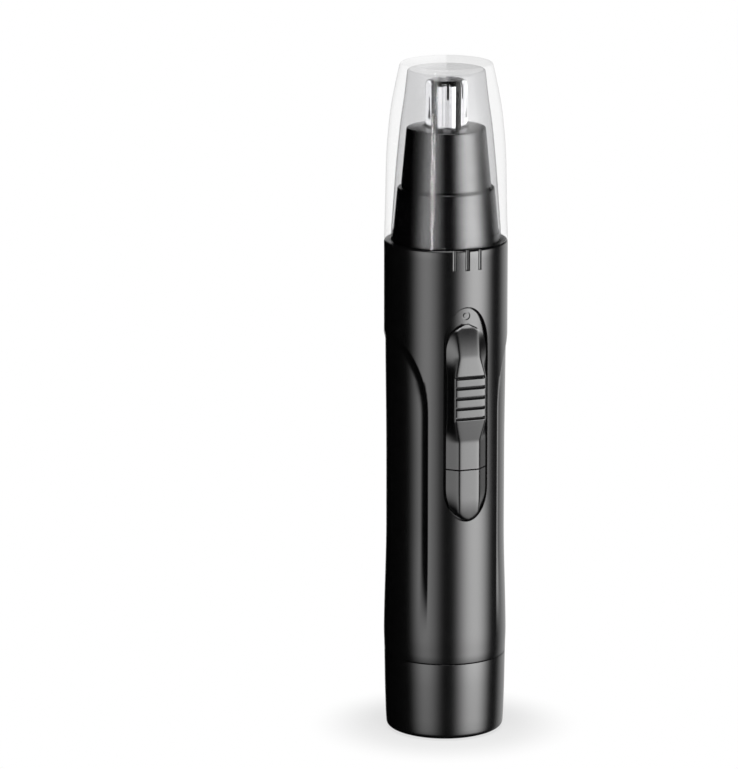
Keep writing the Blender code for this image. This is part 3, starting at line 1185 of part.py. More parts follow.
# ---------------------------------------------------------------- assembly
def main():
    remove_everything()
    cap_joint = joint_empty("cap_joint", CAP_BOTTOM)
    head_joint = joint_empty("head_joint", HEAD_BOTTOM)
    rotor_joint = joint_empty("rotor_joint", MOTOR_TOP)
    slider_joint = joint_empty("slider_joint", SLIDER_BOTTOM, BODY_RADIUS)
    battery_cap_joint = joint_empty("battery_cap_joint", 0.0)

    dress(make_housing(), black_plastic())
    make_switch_bed()
    make_collar()
    make_battery_cap(battery_cap_joint)
    make_battery_cap_fittings(battery_cap_joint)

    make_chassis()
    make_battery_cell()
    make_positive_contact()
    make_negative_strip()
    make_collar_screws()
    make_shaft_seal()

    make_switch_slider(slider_joint)
    make_slider_carriage(slider_joint)
    make_moving_contact(slider_joint)
    make_fixed_contacts()

    make_motor_can()
    make_motor_end_bell()
    make_motor_bearings()
    make_motor_terminals()
    make_brushes()
    make_magnets()

    make_motor_shaft(rotor_joint)
    make_armature(rotor_joint)
    make_drive_coupling(rotor_joint)
    make_blade_carrier(rotor_joint)
    make_rotary_blade(rotor_joint)
    make_blade_spring(rotor_joint)

    make_head_cone(head_joint)
    make_head_bush(head_joint)
    make_cutter_guard(head_joint)
    make_protective_cap(cap_joint)


main()
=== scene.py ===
"""Nose hair trimmer: the finish of every piece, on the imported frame."""

import json
import math

import bmesh
import bpy
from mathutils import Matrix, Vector


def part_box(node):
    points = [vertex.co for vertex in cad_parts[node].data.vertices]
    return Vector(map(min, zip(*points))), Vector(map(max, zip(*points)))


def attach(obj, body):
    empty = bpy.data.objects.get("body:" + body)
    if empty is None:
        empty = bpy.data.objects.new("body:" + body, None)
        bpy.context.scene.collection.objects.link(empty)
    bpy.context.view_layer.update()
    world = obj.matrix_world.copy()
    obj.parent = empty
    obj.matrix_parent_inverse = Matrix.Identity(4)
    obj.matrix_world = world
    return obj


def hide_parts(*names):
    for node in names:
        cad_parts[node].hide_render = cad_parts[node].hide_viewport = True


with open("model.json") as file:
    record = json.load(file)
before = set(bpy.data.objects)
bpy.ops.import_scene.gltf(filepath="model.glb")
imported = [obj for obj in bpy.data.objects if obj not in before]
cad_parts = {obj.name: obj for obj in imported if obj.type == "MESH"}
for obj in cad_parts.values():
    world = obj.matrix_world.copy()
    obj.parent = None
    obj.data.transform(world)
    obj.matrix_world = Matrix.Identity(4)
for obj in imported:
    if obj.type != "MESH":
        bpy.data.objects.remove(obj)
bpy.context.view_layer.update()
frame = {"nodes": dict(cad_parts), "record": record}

bl_info = {
    "name": "Nose Hair Trimmer",
    "version": (1, 0, 0),
    "blender": (4, 5, 0),
    "location": "View3D > Sidebar > Trimmer",
    "description": "Builds the finished surfaces of a battery nose hair trimmer",
    "category": "Object",
}

MM = 0.001
FINE = 192                       # steps round a turned shell

# Places that the frame fixes.
BODY_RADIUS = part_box("housing")[1][0]
HOUSING_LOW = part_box("housing")[0][2]
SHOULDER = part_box("housing")[1][2]
GUARD_LOW, GUARD_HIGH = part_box("cutter_guard")[0][2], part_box("cutter_guard")[1][2]
CONE_LOW, CONE_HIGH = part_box("head_cone")[0][2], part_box("head_cone")[1][2]
COLLAR_LOW, COLLAR_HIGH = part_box("collar")[0][2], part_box("collar")[1][2]
COLLAR_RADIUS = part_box("collar")[1][0]
CAP_LOW, CAP_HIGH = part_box("protective_cap")[0][2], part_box("protective_cap")[1][2]
BATTERY_CAP_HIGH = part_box("battery_cap")[1][2]
SLIDER_LOW, SLIDER_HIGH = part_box("switch_slider")[0][2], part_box("switch_slider")[1][2]
SLIDER_FRONT, SLIDER_BACK = -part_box("switch_slider")[0][1], -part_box("switch_slider")[1][1]
BED_LOW, BED_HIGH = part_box("switch_bed")[0][2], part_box("switch_bed")[1][2]
BED_BACK = -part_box("switch_bed")[1][1]


# ---------------------------------------------------------------- settings
def length(name, description, default):
    return bpy.props.FloatProperty(name=name, description=description, default=default,
                                   min=0.0, precision=5, unit="LENGTH", subtype="DISTANCE")


def colour(name, description, default):
    return bpy.props.FloatVectorProperty(name=name, description=description, default=default,
                                         size=3, min=0.0, max=1.0, subtype="COLOR")


class TrimmerSizes(bpy.types.PropertyGroup):
    """Sizes of the finished shells."""
    wall: length("Wall", "Thickness of the handle's wall", 1.45 * MM)
    gap: length("Gap", "Gap between neighbouring pieces", 0.3 * MM)
    window_half: length("Window half width", "Half the width of the switch window", 4.8 * MM)
    window_drop: length("Window drop", "From the shoulder down to the window", 12.1 * MM)
    window_top_arch: length("Top arch", "Height of the window's upper arch", 8.3 * MM)
    window_straight: length("Straight", "Length of the window's straight sides", 30.3 * MM)
    window_bottom_arch: length("Bottom arch", "Height of the window's lower arch", 7.2 * MM)
    bed_recess: length("Bed recess", "How far the switch bed lies below the surface", 0.8 * MM)
    slider_half: length("Slider half width", "Half the width of the slider", 4.4 * MM)
    slider_facet: length("Slider facet", "Half the width of the slider's centre facet", 2.25 * MM)
    slider_rise: length("Slider rise", "Height of the slider above the handle", 1.3 * MM)
    pad_half: length("Pad half width", "Half the width of the grip pad", 3.6 * MM)
    pad_rise: length("Pad rise", "Height of the grip pad above the slider", 0.75 * MM)
    scoop_depth: length("Scoop depth", "Depth of the side scoops at their edge", 0.9 * MM)
    index_pitch: length("Index pitch", "Spacing of the index grooves", 2.9 * MM)
    guard_radius: length("Guard radius", "Outside of the steel guard", 4.4 * MM)
    guard_slot: length("Guard slot", "Width of the guard's slots", 0.45 * MM)
    guard_slots: bpy.props.IntProperty(name="Guard slots", description="Slots round the guard", default=8, min=3)
    grooves: bpy.props.IntProperty(name="Grip grooves", description="Grooves across the pad", default=5, min=1)


class TrimmerColours(bpy.types.PropertyGroup):
    """Colours of the finishes."""
    plastic: colour("Black plastic", "Moulded shells", (0.003, 0.003, 0.0032))
    steel: colour("Steel", "Guard and blade", (0.78, 0.78, 0.79))
    clear: colour("Clear plastic", "Protective cap", (0.83, 0.83, 0.835))
    floor: colour("Floor", "Floor under the trimmer", (0.92, 0.92, 0.92))


# ---------------------------------------------------------------- mesh tools
def link(name, shape, smooth_angle=35):
    """A finished bmesh as an object with outward faces."""
    bmesh.ops.remove_doubles(shape, verts=shape.verts, dist=1e-8)
    bmesh.ops.recalc_face_normals(shape, faces=shape.faces)
    mesh = bpy.data.meshes.new(name)
    shape.to_mesh(mesh)
    shape.free()
    item = bpy.data.objects.new(name, mesh)
    bpy.context.scene.collection.objects.link(item)
    shade(item, smooth_angle)
    return item


def shade(item, angle=35):
    item.data.shade_smooth()
    item.data.set_sharp_from_angle(angle=math.radians(angle))


def arc(centre, radii, start, end, steps):
    points = []
    for index in range(steps + 1):
        angle = math.radians(start + (end - start) * index / steps)
        points.append((centre[0] + radii[0] * math.cos(angle), centre[1] + radii[1] * math.sin(angle)))
    return points


def turned(name, outline, segments=FINE):
    """Spin a (radius, height) outline about Z; one that starts and ends on the axis stays open there."""
    shape = bmesh.new()
    points = [shape.verts.new((radius, 0, height)) for radius, height in outline]
    edges = [shape.edges.new(pair) for pair in zip(points, points[1:])]
    if all(radius > 0 for radius, height in outline):
        edges.append(shape.edges.new((points[-1], points[0])))
    bmesh.ops.spin(shape, geom=points + edges, cent=(0, 0, 0), axis=(0, 0, 1),
                   angle=2 * math.pi, steps=segments, use_merge=True)
    return link(name, shape)


def rounded(outline, radii, steps=5):
    """Round the corners of an open or closed outline; radii gives one radius per point, 0 keeps it sharp."""
    points = []
    count = len(outline)
    for index, (corner, radius) in enumerate(zip(outline, radii)):
        if radius == 0:
            points.append(corner)
            continue
        here = Vector(corner)
        before = Vector(outline[index - 1]) - here
        after = Vector(outline[(index + 1) % count]) - here
        reach = min(radius, before.length * 0.45, after.length * 0.45)
        first = here + before.normalized() * reach
        last = here + after.normalized() * reach
        for step in range(steps + 1):
            share = step / steps
            curve = first * (1 - share) ** 2 + here * 2 * share * (1 - share) + last * share ** 2
            points.append((curve.x, curve.y))
    return points


def lofted(name, rings, smooth_angle=35):
    shape = bmesh.new()
    layers = [[shape.verts.new(point) for point in ring] for ring in rings]
    count = len(rings[0])
    for lower, upper in zip(layers, layers[1:]):
        for index in range(count):
            after = (index + 1) % count
            shape.faces.new((lower[index], lower[after], upper[after], upper[index]))
    for cap in (layers[0], layers[-1]):
        shape.faces.new(cap)
    return link(name, shape, smooth_angle)


def prism(name, outline, low, high, axis="Z"):
    """Extrude a flat outline along an axis: X takes (y, z), Y takes (x, z), Z takes (x, y)."""
    place = {
        "X": lambda point, depth: (depth, point[0], point[1]),
        "Y": lambda point, depth: (point[0], depth, point[1]),
        "Z": lambda point, depth: (point[0], point[1], depth),
    }[axis]
    return lofted(name, [[place(point, low) for point in outline], [place(point, high) for point in outline]])


def box(name, low, high):
    outline = [(low[0], low[1]), (high[0], low[1]), (high[0], high[1]), (low[0], high[1])]
    return prism(name, outline, low[2], high[2])


def bake(item):
    """Turn an object with modifiers into a plain mesh."""
    graph = bpy.context.evaluated_depsgraph_get()
    mesh = bpy.data.meshes.new_from_object(item.evaluated_get(graph))
    item.modifiers.clear()
    item.data = mesh


def combine(item, other, operation="DIFFERENCE", smooth_angle=35):
    step = item.modifiers.new(operation.lower(), "BOOLEAN")
    step.operation = operation
    step.solver = "EXACT"
    step.object = other
    bake(item)
    bpy.data.objects.remove(other, do_unlink=True)
    shade(item, smooth_angle)
    if not item.data.polygons:
        raise RuntimeError(f"{item.name} was lost in a Boolean")


def finish_piece(item, material, body, slot, *nodes):
    """Give a piece its finish, hang it on the empty of the body it rides on and hide the nodes it stands for."""
    item.data.materials.clear()
    item.data.materials.append(material)
    item.modifiers.clear()
    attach(item, body)
    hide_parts(*nodes)


# ---------------------------------------------------------------- outlines
def window_outline(sizes, inset=0.0, steps=32):
    """Switch window as (x, z), inset from its edge."""
    top = SHOULDER - sizes.window_drop
    upper = top - sizes.window_top_arch
    lower = upper - sizes.window_straight
    half = sizes.window_half - inset
    outline = arc((0, upper), (half, sizes.window_top_arch - inset), 0, 180, steps)
    outline += arc((0, lower), (half, sizes.window_bottom_arch - inset), 180, 360, steps)
    return outline


def window_cutter(sizes):
    """The window's opening, with a small chamfer that follows the round surface."""
    rings = []
    back = -BODY_RADIUS * 0.5
    rings.append([(x, back, z) for x, z in window_outline(sizes)])
    for outset, radius in ((0.0, BODY_RADIUS - 0.22 * MM), (0.05 * MM, BODY_RADIUS - 0.1 * MM),
                           (0.2 * MM, BODY_RADIUS + 0.05 * MM)):
        rings.append([(x, -math.sqrt(radius ** 2 - x ** 2), z) for x, z in window_outline(sizes, -outset)])
    rings.append([(x, -BODY_RADIUS - 2 * MM, z) for x, z in window_outline(sizes, -0.2 * MM)])
    return lofted("window_cutter", rings)


# ---------------------------------------------------------------- housing
SCOOP_TOP_DROP = 18.5 * MM
SCOOP_LOW = 19.4 * MM
SCOOP_HALF_ARC = 12.05 * MM
SCOOP_ARCH = 16.5 * MM
SCOOP_STEP = 2.1 * MM
SCOOP_SIDE_DEPTH = 0.3 * MM


def smooth_step(value):
    share = min(1.0, max(0.0, value))
    return share * share * (3 - 2 * share)


def scoop_inside(along, height):
    """Distance inside the scoop's edge; along is measured round the surface from the side."""
    centre = SHOULDER - SCOOP_TOP_DROP - SCOOP_ARCH
    flat = SCOOP_HALF_ARC - abs(along)
    if height <= centre:
        return flat
    across = along / SCOOP_HALF_ARC
    rise = (height - centre) / SCOOP_ARCH
    reach = math.hypot(across, rise)
    if reach < 1e-6:
        return flat
    slope = math.hypot(across / SCOOP_HALF_ARC, rise / SCOOP_ARCH) / reach
    return (1 - reach) / slope


def scoop_depth(sizes, angle, height):
    """How far the surface lies inside the round body at an angle about Z."""
    from_side = math.asin(math.sin(angle))
    inside = scoop_inside(from_side * BODY_RADIUS, height)
    if inside <= 0:
        return 0.0
    top = SHOULDER - SCOOP_TOP_DROP
    ramp = smooth_step((height - SCOOP_LOW) / (26 * MM))
    share = min(1.0, abs(from_side) * BODY_RADIUS / SCOOP_HALF_ARC)
    fall = smooth_step((top - height) / (28 * MM))
    edge = sizes.scoop_depth * ramp
    side = SCOOP_SIDE_DEPTH * ramp * fall
    floor = side + (edge - side) * share
    wall = min(1.0, inside / SCOOP_STEP)
    return floor * (1 - (1 - wall) ** 2)


def clustered(low, high, step, dense_zones, dense_step):
    """Values from low to high, closer together inside the dense zones."""
    values = [low]
    while values[-1] < high - 1e-9:
        here = values[-1]
        dense = any(start - step <= here < end for start, end in dense_zones)
        values.append(min(high, here + (dense_step if dense else step)))
    return values


def housing_shell(sizes):
    """Outer and inner skins of the handle as one closed mesh."""
    edge_angle = SCOOP_HALF_ARC / BODY_RADIUS
    step_angle = SCOOP_STEP / BODY_RADIUS
    zones = []
    for middle in (0.0, math.pi, 2 * math.pi):
        zones.append((middle + edge_angle - step_angle * 4, middle + edge_angle + step_angle * 0.4))
        zones.append((middle - edge_angle - step_angle * 0.4, middle - edge_angle + step_angle * 4))
    angles = clustered(0.0, 2 * math.pi, math.radians(2.2), zones, math.radians(0.9))[:-1]
    round_edge = 0.35 * MM
    arch = SHOULDER - SCOOP_TOP_DROP
    heights = clustered(HOUSING_LOW + 0.2 * MM, SHOULDER - round_edge, 1.6 * MM,
                        [(arch - 9 * MM, arch + 0.3 * MM)], 0.32 * MM)

    def ring(radius_at, height):
        return [(radius_at(angle) * math.cos(angle), radius_at(angle) * math.sin(angle), height)
                for angle in angles]

    def body_radius(height):
        return BODY_RADIUS - 0.14 * MM * (1 - smooth_step((height - HOUSING_LOW) / (5 * MM)))

    bore = BODY_RADIUS - sizes.wall
    rings = [ring(lambda angle: bore, HOUSING_LOW)]
    rings.append(ring(lambda angle: body_radius(HOUSING_LOW) - 0.12 * MM, HOUSING_LOW))
    rings.append(ring(lambda angle: body_radius(HOUSING_LOW) - 0.03 * MM, HOUSING_LOW + 0.08 * MM))
    for height in heights:
        rings.append(ring(lambda angle: body_radius(height) - scoop_depth(sizes, angle, height), height))
    for turn in (25, 50, 75, 90):
        inset = round_edge * (1 - math.cos(math.radians(turn)))
        lift = round_edge * math.sin(math.radians(turn))
        rings.append(ring(lambda angle: BODY_RADIUS - inset, SHOULDER - round_edge + lift))
    rings.append(ring(lambda angle: bore, SHOULDER))
    shape = bmesh.new()
    layers = [[shape.verts.new(point) for point in loop] for loop in rings]
    count = len(angles)
    for lower, upper in zip(layers, layers[1:] + layers[:1]):
        for index in range(count):
            after = (index + 1) % count
            shape.faces.new((lower[index], lower[after], upper[after], upper[index]))
    return link("housing_shell", shape, 40)


def index_cutters(sizes):
    """Geometry Nodes row of the index grooves' cutters."""
    tool = prism("index_tool", arc((0, -BODY_RADIUS), (0.52 * MM, 0.6 * MM), 7, 352, 23),
                 SHOULDER - 4.3 * MM, SHOULDER + MM)
    tree = bpy.data.node_groups.new("Index groove row", "GeometryNodeTree")
    tree.interface.new_socket("Geometry", in_out="INPUT", socket_type="NodeSocketGeometry")
    count = tree.interface.new_socket("Count", in_out="INPUT", socket_type="NodeSocketInt")
    pitch = tree.interface.new_socket("Pitch", in_out="INPUT", socket_type="NodeSocketFloat")
    tree.interface.new_socket("Geometry", in_out="OUTPUT", socket_type="NodeSocketGeometry")
    nodes, links = tree.nodes, tree.links
    source = nodes.new("NodeGroupInput")
    result = nodes.new("NodeGroupOutput")
    line = nodes.new("GeometryNodeMeshLine")
    line.mode = "OFFSET"
    step = nodes.new("ShaderNodeCombineXYZ")
    start = nodes.new("ShaderNodeCombineXYZ")
    half = nodes.new("ShaderNodeMath")
    half.operation = "MULTIPLY"
    half.inputs[1].default_value = -1.0
    copies = nodes.new("GeometryNodeInstanceOnPoints")
    real = nodes.new("GeometryNodeRealizeInstances")
    finish = nodes.new("GeometryNodeSetMaterial")
    finish.inputs["Material"].default_value = black_plastic()
    links.new(source.outputs["Count"], line.inputs["Count"])
    links.new(source.outputs["Pitch"], step.inputs["X"])
    links.new(source.outputs["Pitch"], half.inputs[0])
    links.new(half.outputs[0], start.inputs["X"])
    links.new(step.outputs[0], line.inputs["Offset"])
    links.new(start.outputs[0], line.inputs["Start Location"])
    links.new(line.outputs["Mesh"], copies.inputs["Points"])
    links.new(source.outputs["Geometry"], copies.inputs["Instance"])
    links.new(copies.outputs["Instances"], real.inputs["Geometry"])
    links.new(real.outputs["Geometry"], finish.inputs["Geometry"])
    links.new(finish.outputs["Geometry"], result.inputs["Geometry"])
    step_in = tool.modifiers.new("row", "NODES")
    step_in.node_group = tree
    step_in[count.identifier] = 3
    step_in[pitch.identifier] = sizes.index_pitch
    bake(tool)
    return tool


# ---------------------------------------------------------------- switch
def pad_share(height):
    start = SLIDER_LOW + 5.9 * MM
    share = (height - start) / (18.1 * MM)
    return min(1.0, max(0.0, share))


def pad_bulge(height):
    share = pad_share(height)
    return 0.92 * min(1.0, share / 0.26, (1 - share) / 0.25) + 0.08 * math.sin(math.pi * share)


def slider_top(sizes, height):
    start = SLIDER_LOW + 24.0 * MM
    tongue = max(0.0, (height - start) / (SLIDER_HIGH - start))
    drop = (1.5 * tongue + 0.4 * tongue ** 2) * MM
    return BODY_RADIUS + sizes.slider_rise - drop + sizes.pad_rise * pad_bulge(height)


def slider_half(sizes, height):
    arch = 5.6 * MM
    base = SLIDER_HIGH - arch
    if height <= base:
        return sizes.slider_half
    share = min(0.985, (height - base) / arch)
    return sizes.slider_half * math.sqrt(1 - share ** 2)


def facet_line(across, half, facet, top, soft):
    """Depth of a faceted section at a point across it, with its two corners softened."""
    edge = math.sqrt(BODY_RADIUS ** 2 - half ** 2)
    slope = (top - edge) / max(half - facet, 1e-6)
    beyond = abs(across) - facet
    # a smooth maximum of 0 and the distance beyond the facet's corner
    drop = 0.5 * (beyond + math.sqrt(beyond ** 2 + soft ** 2))
    return top - slope * max(0.0, drop)


def section(sizes, half, facet, top, underside, height, carve=None, columns=48):
    ring = []
    for index in range(9):
        across = half * (-1 + index / 4)
        ring.append((across, -math.sqrt(underside ** 2 - across ** 2), height))
    for index in range(columns + 1):
        across = half * (1 - 2 * index / columns)
        depth = facet_line(across, half, facet, top, 0.22 * MM)
        if carve:
            depth -= carve(across, height)
        edge = math.sqrt(BODY_RADIUS ** 2 - half ** 2)
        low = math.sqrt(underside ** 2 - across ** 2) + 0.15 * MM
        ring.append((across, -max(depth, low if abs(across) < half else min(edge, low)), height))
    return ring


def grip_carver(sizes):
    """Depth of the grooves across the grip pad."""
    middle = SLIDER_LOW + 5.9 * MM + 18.1 * MM / 2 + 0.4 * MM
    pitch = 2.18 * MM
    half_height = 0.42 * MM
    levels = [middle + (index - (sizes.grooves - 1) / 2) * pitch for index in range(sizes.grooves)]

    def carve(across, height):
        for level in levels:
            offset = (height - level) / half_height
            if abs(offset) < 1:
                facet = sizes.slider_facet + (sizes.pad_half - sizes.slider_facet) * pad_bulge(level)
                reach = facet - 0.25 * MM
                fade = smooth_step((reach - abs(across)) / (0.3 * MM))
                wall = (1 - offset) / 0.35 if offset > 0.65 else (1 + offset) / 1.65
                return 0.42 * MM * smooth_step(wall) * fade
        return 0.0

    dense = [(level - half_height * 1.2, level + half_height * 1.2) for level in levels]
    return carve, dense


# ---------------------------------------------------------------- finishes
def fresh_material(name):
    material = bpy.data.materials.get(name)
    if material:
        return material, None, None, None
    material = bpy.data.materials.new(name)
    material.use_nodes = True
    return material, material.node_tree.nodes, material.node_tree.links, material.node_tree.nodes["Principled BSDF"]


def grain(nodes, links, shader, scale, roughness, spread, bump, stretch=(1, 1, 1)):
    """Fine surface grain on object coordinates: roughness variation and a shallow bump."""
    where = nodes.new("ShaderNodeTexCoord")
    mapping = nodes.new("ShaderNodeMapping")
    mapping.inputs["Scale"].default_value = [1000 * part for part in stretch]
    links.new(where.outputs["Object"], mapping.inputs["Vector"])
    cloud = nodes.new("ShaderNodeTexNoise")
    cloud.inputs["Scale"].default_value = scale * 0.08
    cloud.inputs["Detail"].default_value = 3.0
    fine = nodes.new("ShaderNodeTexNoise")
    fine.inputs["Scale"].default_value = scale
    fine.inputs["Detail"].default_value = 2.0
    links.new(mapping.outputs["Vector"], cloud.inputs["Vector"])
    links.new(mapping.outputs["Vector"], fine.inputs["Vector"])
    spread_node = nodes.new("ShaderNodeMapRange")
    spread_node.inputs["To Min"].default_value = roughness - spread
    spread_node.inputs["To Max"].default_value = roughness + spread
    links.new(cloud.outputs["Fac"], spread_node.inputs["Value"])
    links.new(spread_node.outputs["Result"], shader.inputs["Roughness"])
    relief = nodes.new("ShaderNodeBump")
    relief.inputs["Strength"].default_value = bump
    relief.inputs["Distance"].default_value = 0.02 * MM
    links.new(fine.outputs["Fac"], relief.inputs["Height"])
    links.new(relief.outputs["Normal"], shader.inputs["Normal"])
    return cloud


def tint(nodes, links, shader, cloud, base, spread):
    """A little colour variation round a base colour."""
    ramp = nodes.new("ShaderNodeValToRGB")
    ramp.color_ramp.elements[0].position = 0.35
    ramp.color_ramp.elements[1].position = 0.65
    ramp.color_ramp.elements[0].color = (*[part * (1 - spread) for part in base], 1)
    ramp.color_ramp.elements[1].color = (*[min(1, part * (1 + spread)) for part in base], 1)
    links.new(cloud.outputs["Fac"], ramp.inputs["Fac"])
    links.new(ramp.outputs["Color"], shader.inputs["Base Color"])


def black_plastic():
    material, nodes, links, shader = fresh_material("Moulded black plastic")
    if nodes is None:
        return material
    base = bpy.context.scene.trimmer_colours.plastic
    cloud = grain(nodes, links, shader, 5.0, 0.21, 0.012, 0.015)
    tint(nodes, links, shader, cloud, base, 0.12)
    shader.inputs["Specular IOR Level"].default_value = 1.0
    return material


def polished_steel():
    material, nodes, links, shader = fresh_material("Turned steel")
    if nodes is None:
        return material
    cloud = grain(nodes, links, shader, 3.0, 0.11, 0.03, 0.12, (0.15, 0.15, 4.0))
    shader.inputs["Metallic"].default_value = 1.0
    # Painted reflection: the base colour runs through bright and dark bands by how squarely the steel faces the
    # camera, standing in for the bright and dark surroundings reflected in it.
    view = nodes.new("ShaderNodeLayerWeight")
    view.inputs["Blend"].default_value = 0.5
    painted_reflection_bands = nodes.new("ShaderNodeValToRGB")
    steel = bpy.context.scene.trimmer_colours.steel
    reflection_band_stops = ((0.0, 1.0), (0.1, 0.7), (0.125, 0.0), (0.285, 0.0), (0.31, 1.1), (0.84, 1.1), (0.9, 0.0))
    while len(painted_reflection_bands.color_ramp.elements) < len(reflection_band_stops):
        painted_reflection_bands.color_ramp.elements.new(1.0)
    for place, (position, tone) in zip(painted_reflection_bands.color_ramp.elements, reflection_band_stops):
        place.position = position
        place.color = (*[min(1.0, part * tone) for part in steel], 1)
    links.new(view.outputs["Facing"], painted_reflection_bands.inputs["Fac"])
    # A little random grain tone is multiplied into the painted reflection bands.
    reflection_bands_and_grain = nodes.new("ShaderNodeMix")
    reflection_bands_and_grain.data_type = "RGBA"
    reflection_bands_and_grain.blend_type = "MULTIPLY"
    reflection_bands_and_grain.inputs["Factor"].default_value = 0.12
    links.new(painted_reflection_bands.outputs["Color"], reflection_bands_and_grain.inputs["A"])
    links.new(cloud.outputs["Fac"], reflection_bands_and_grain.inputs["B"])
    links.new(reflection_bands_and_grain.outputs["Result"], shader.inputs["Base Color"])
    return material


def clear_plastic():
    """Thin clear walls: tinted transparency under a gloss, with painted shade that pulls the transparency towards
    black where a wall is seen edge-on.
    """
    material, nodes, links, shader = fresh_material("Clear plastic")
    if nodes is None:
        return material
    cloud = grain(nodes, links, shader, 0.6, 0.03, 0.01, 0.01)
    tint(nodes, links, shader, cloud, (0.9, 0.9, 0.9), 0.02)
    shader.inputs["Metallic"].default_value = 1.0
    view = nodes.new("ShaderNodeLayerWeight")
    view.inputs["Blend"].default_value = 0.5
    edge = math_node(nodes, links, "POWER", view.outputs["Facing"], 5.0)
    gloss = math_node(nodes, links, "MULTIPLY_ADD", edge, 0.3, 0.02)
    wall = nodes.new("ShaderNodeAttribute")
    wall.attribute_name = "inner_wall"
    depth = nodes.new("ShaderNodeMapRange")
    depth.inputs["To Min"].default_value = 0.3
    depth.inputs["To Max"].default_value = 0.95
    links.new(wall.outputs["Fac"], depth.inputs["Value"])
    # Painted shade: where a wall is seen edge-on its transparent colour is pulled towards black, strongest on the
    # inner wall, drawing dark outlines along the cap's edges.
    steep = math_node(nodes, links, "POWER", view.outputs["Facing"], 11.0)
    shadow = math_node(nodes, links, "MULTIPLY", steep, depth.outputs["Result"])
    clear = nodes.new("ShaderNodeMix")
    clear.data_type = "RGBA"
    pale = nodes.new("ShaderNodeMix")
    pale.data_type = "RGBA"
    pale.inputs["A"].default_value = (0.99, 0.99, 0.99, 1)
    pale.inputs["B"].default_value = (*bpy.context.scene.trimmer_colours.clear, 1)
    links.new(wall.outputs["Fac"], pale.inputs["Factor"])
    links.new(pale.outputs["Result"], clear.inputs["A"])
    clear.inputs["B"].default_value = (0.0, 0.0, 0.0, 1)
    links.new(shadow, clear.inputs["Factor"])
    through = nodes.new("ShaderNodeBsdfTransparent")
    links.new(clear.outputs["Result"], through.inputs["Color"])
    mix = nodes.new("ShaderNodeMixShader")
    links.new(gloss, mix.inputs["Fac"])
    links.new(through.outputs[0], mix.inputs[1])
    links.new(shader.outputs[0], mix.inputs[2])
    links.new(mix.outputs[0], nodes["Material Output"].inputs["Surface"])
    return material


def math_node(nodes, links, operation, *values):
    """A Math node fed by sockets or constants; gives its output socket."""
    node = nodes.new("ShaderNodeMath")
    node.operation = operation
    for place, value in zip(node.inputs, values):
        if isinstance(value, bpy.types.NodeSocket):
            links.new(value, place)
        else:
            place.default_value = value
    return node.outputs[0]


INNER_FINISHES = {
    "plain_steel": ((0.55, 0.55, 0.56), 0.34, 1.0),
    "polished_steel": ((0.78, 0.78, 0.79), 0.14, 1.0),
    "nickel_sheet": ((0.72, 0.69, 0.62), 0.24, 1.0),
    "bronze": ((0.55, 0.38, 0.2), 0.36, 1.0),
    "copper": ((0.72, 0.33, 0.16), 0.34, 1.0),
    "ferrite": ((0.08, 0.08, 0.085), 0.72, 0.0),
    "seal_rubber": ((0.03, 0.03, 0.03), 0.7, 0.0),
    "inner_plastic": ((0.62, 0.62, 0.6), 0.5, 0.0),
    "dark_inner_plastic": ((0.05, 0.05, 0.055), 0.45, 0.0),
    "cell_jacket": ((0.12, 0.2, 0.32), 0.35, 0.0),
}


def inner_finish(slot):
    base, roughness, metallic = INNER_FINISHES[slot]
    material, nodes, links, shader = fresh_material("Inner " + slot.replace("_", " "))
    if nodes is None:
        return material
    cloud = grain(nodes, links, shader, 6.0, roughness, 0.04, 0.15)
    tint(nodes, links, shader, cloud, base, 0.08)
    shader.inputs["Metallic"].default_value = metallic
    return material


# ---------------------------------------------------------------- operators
class TrimmerStep(bpy.types.Operator):
    """One step of building the trimmer."""
    bl_options = {"REGISTER", "UNDO"}

    @property
    def sizes(self):
        return bpy.context.scene.trimmer_sizes


class TRIMMER_OT_housing(TrimmerStep):
    """Build the handle's tube with its window, index grooves and side scoops"""
    bl_idname = "trimmer.housing"
    bl_label = "Housing"

    def execute(self, context):
        shell = housing_shell(self.sizes)
        combine(shell, window_cutter(self.sizes), smooth_angle=40)
        combine(shell, index_cutters(self.sizes), smooth_angle=40)
        finish_piece(shell, black_plastic(), "handle", "black_plastic", "housing")
        return {"FINISHED"}


class TRIMMER_OT_battery_cap(TrimmerStep):
    """Build the twist-off battery cap"""
    bl_idname = "trimmer.battery_cap"
    bl_label = "Battery cap"

    def execute(self, context):
        spigot = BODY_RADIUS - self.sizes.wall - self.sizes.gap
        top = HOUSING_LOW - 0.08 * MM
        outline = [(0, 0), (10.9 * MM, 0), (12.4 * MM, 0.6 * MM), (12.56 * MM, 3.2 * MM), (12.74 * MM, 9.0 * MM),
                   (BODY_RADIUS - 0.15 * MM, top), (spigot, top), (spigot, BATTERY_CAP_HIGH),
                   (spigot - 1.8 * MM, BATTERY_CAP_HIGH), (spigot - 1.8 * MM, 2.0 * MM), (0, 2.0 * MM)]
        radii = [0, 0.5 * MM, 1.1 * MM, 3 * MM, 3 * MM, 0.06 * MM, 0, 0.2 * MM, 0.2 * MM, 0.5 * MM, 0]
        cap = turned("battery_cap_shell", rounded(outline, radii))
        finish_piece(cap, black_plastic(), "battery_cap", "black_plastic", "battery_cap")
        return {"FINISHED"}


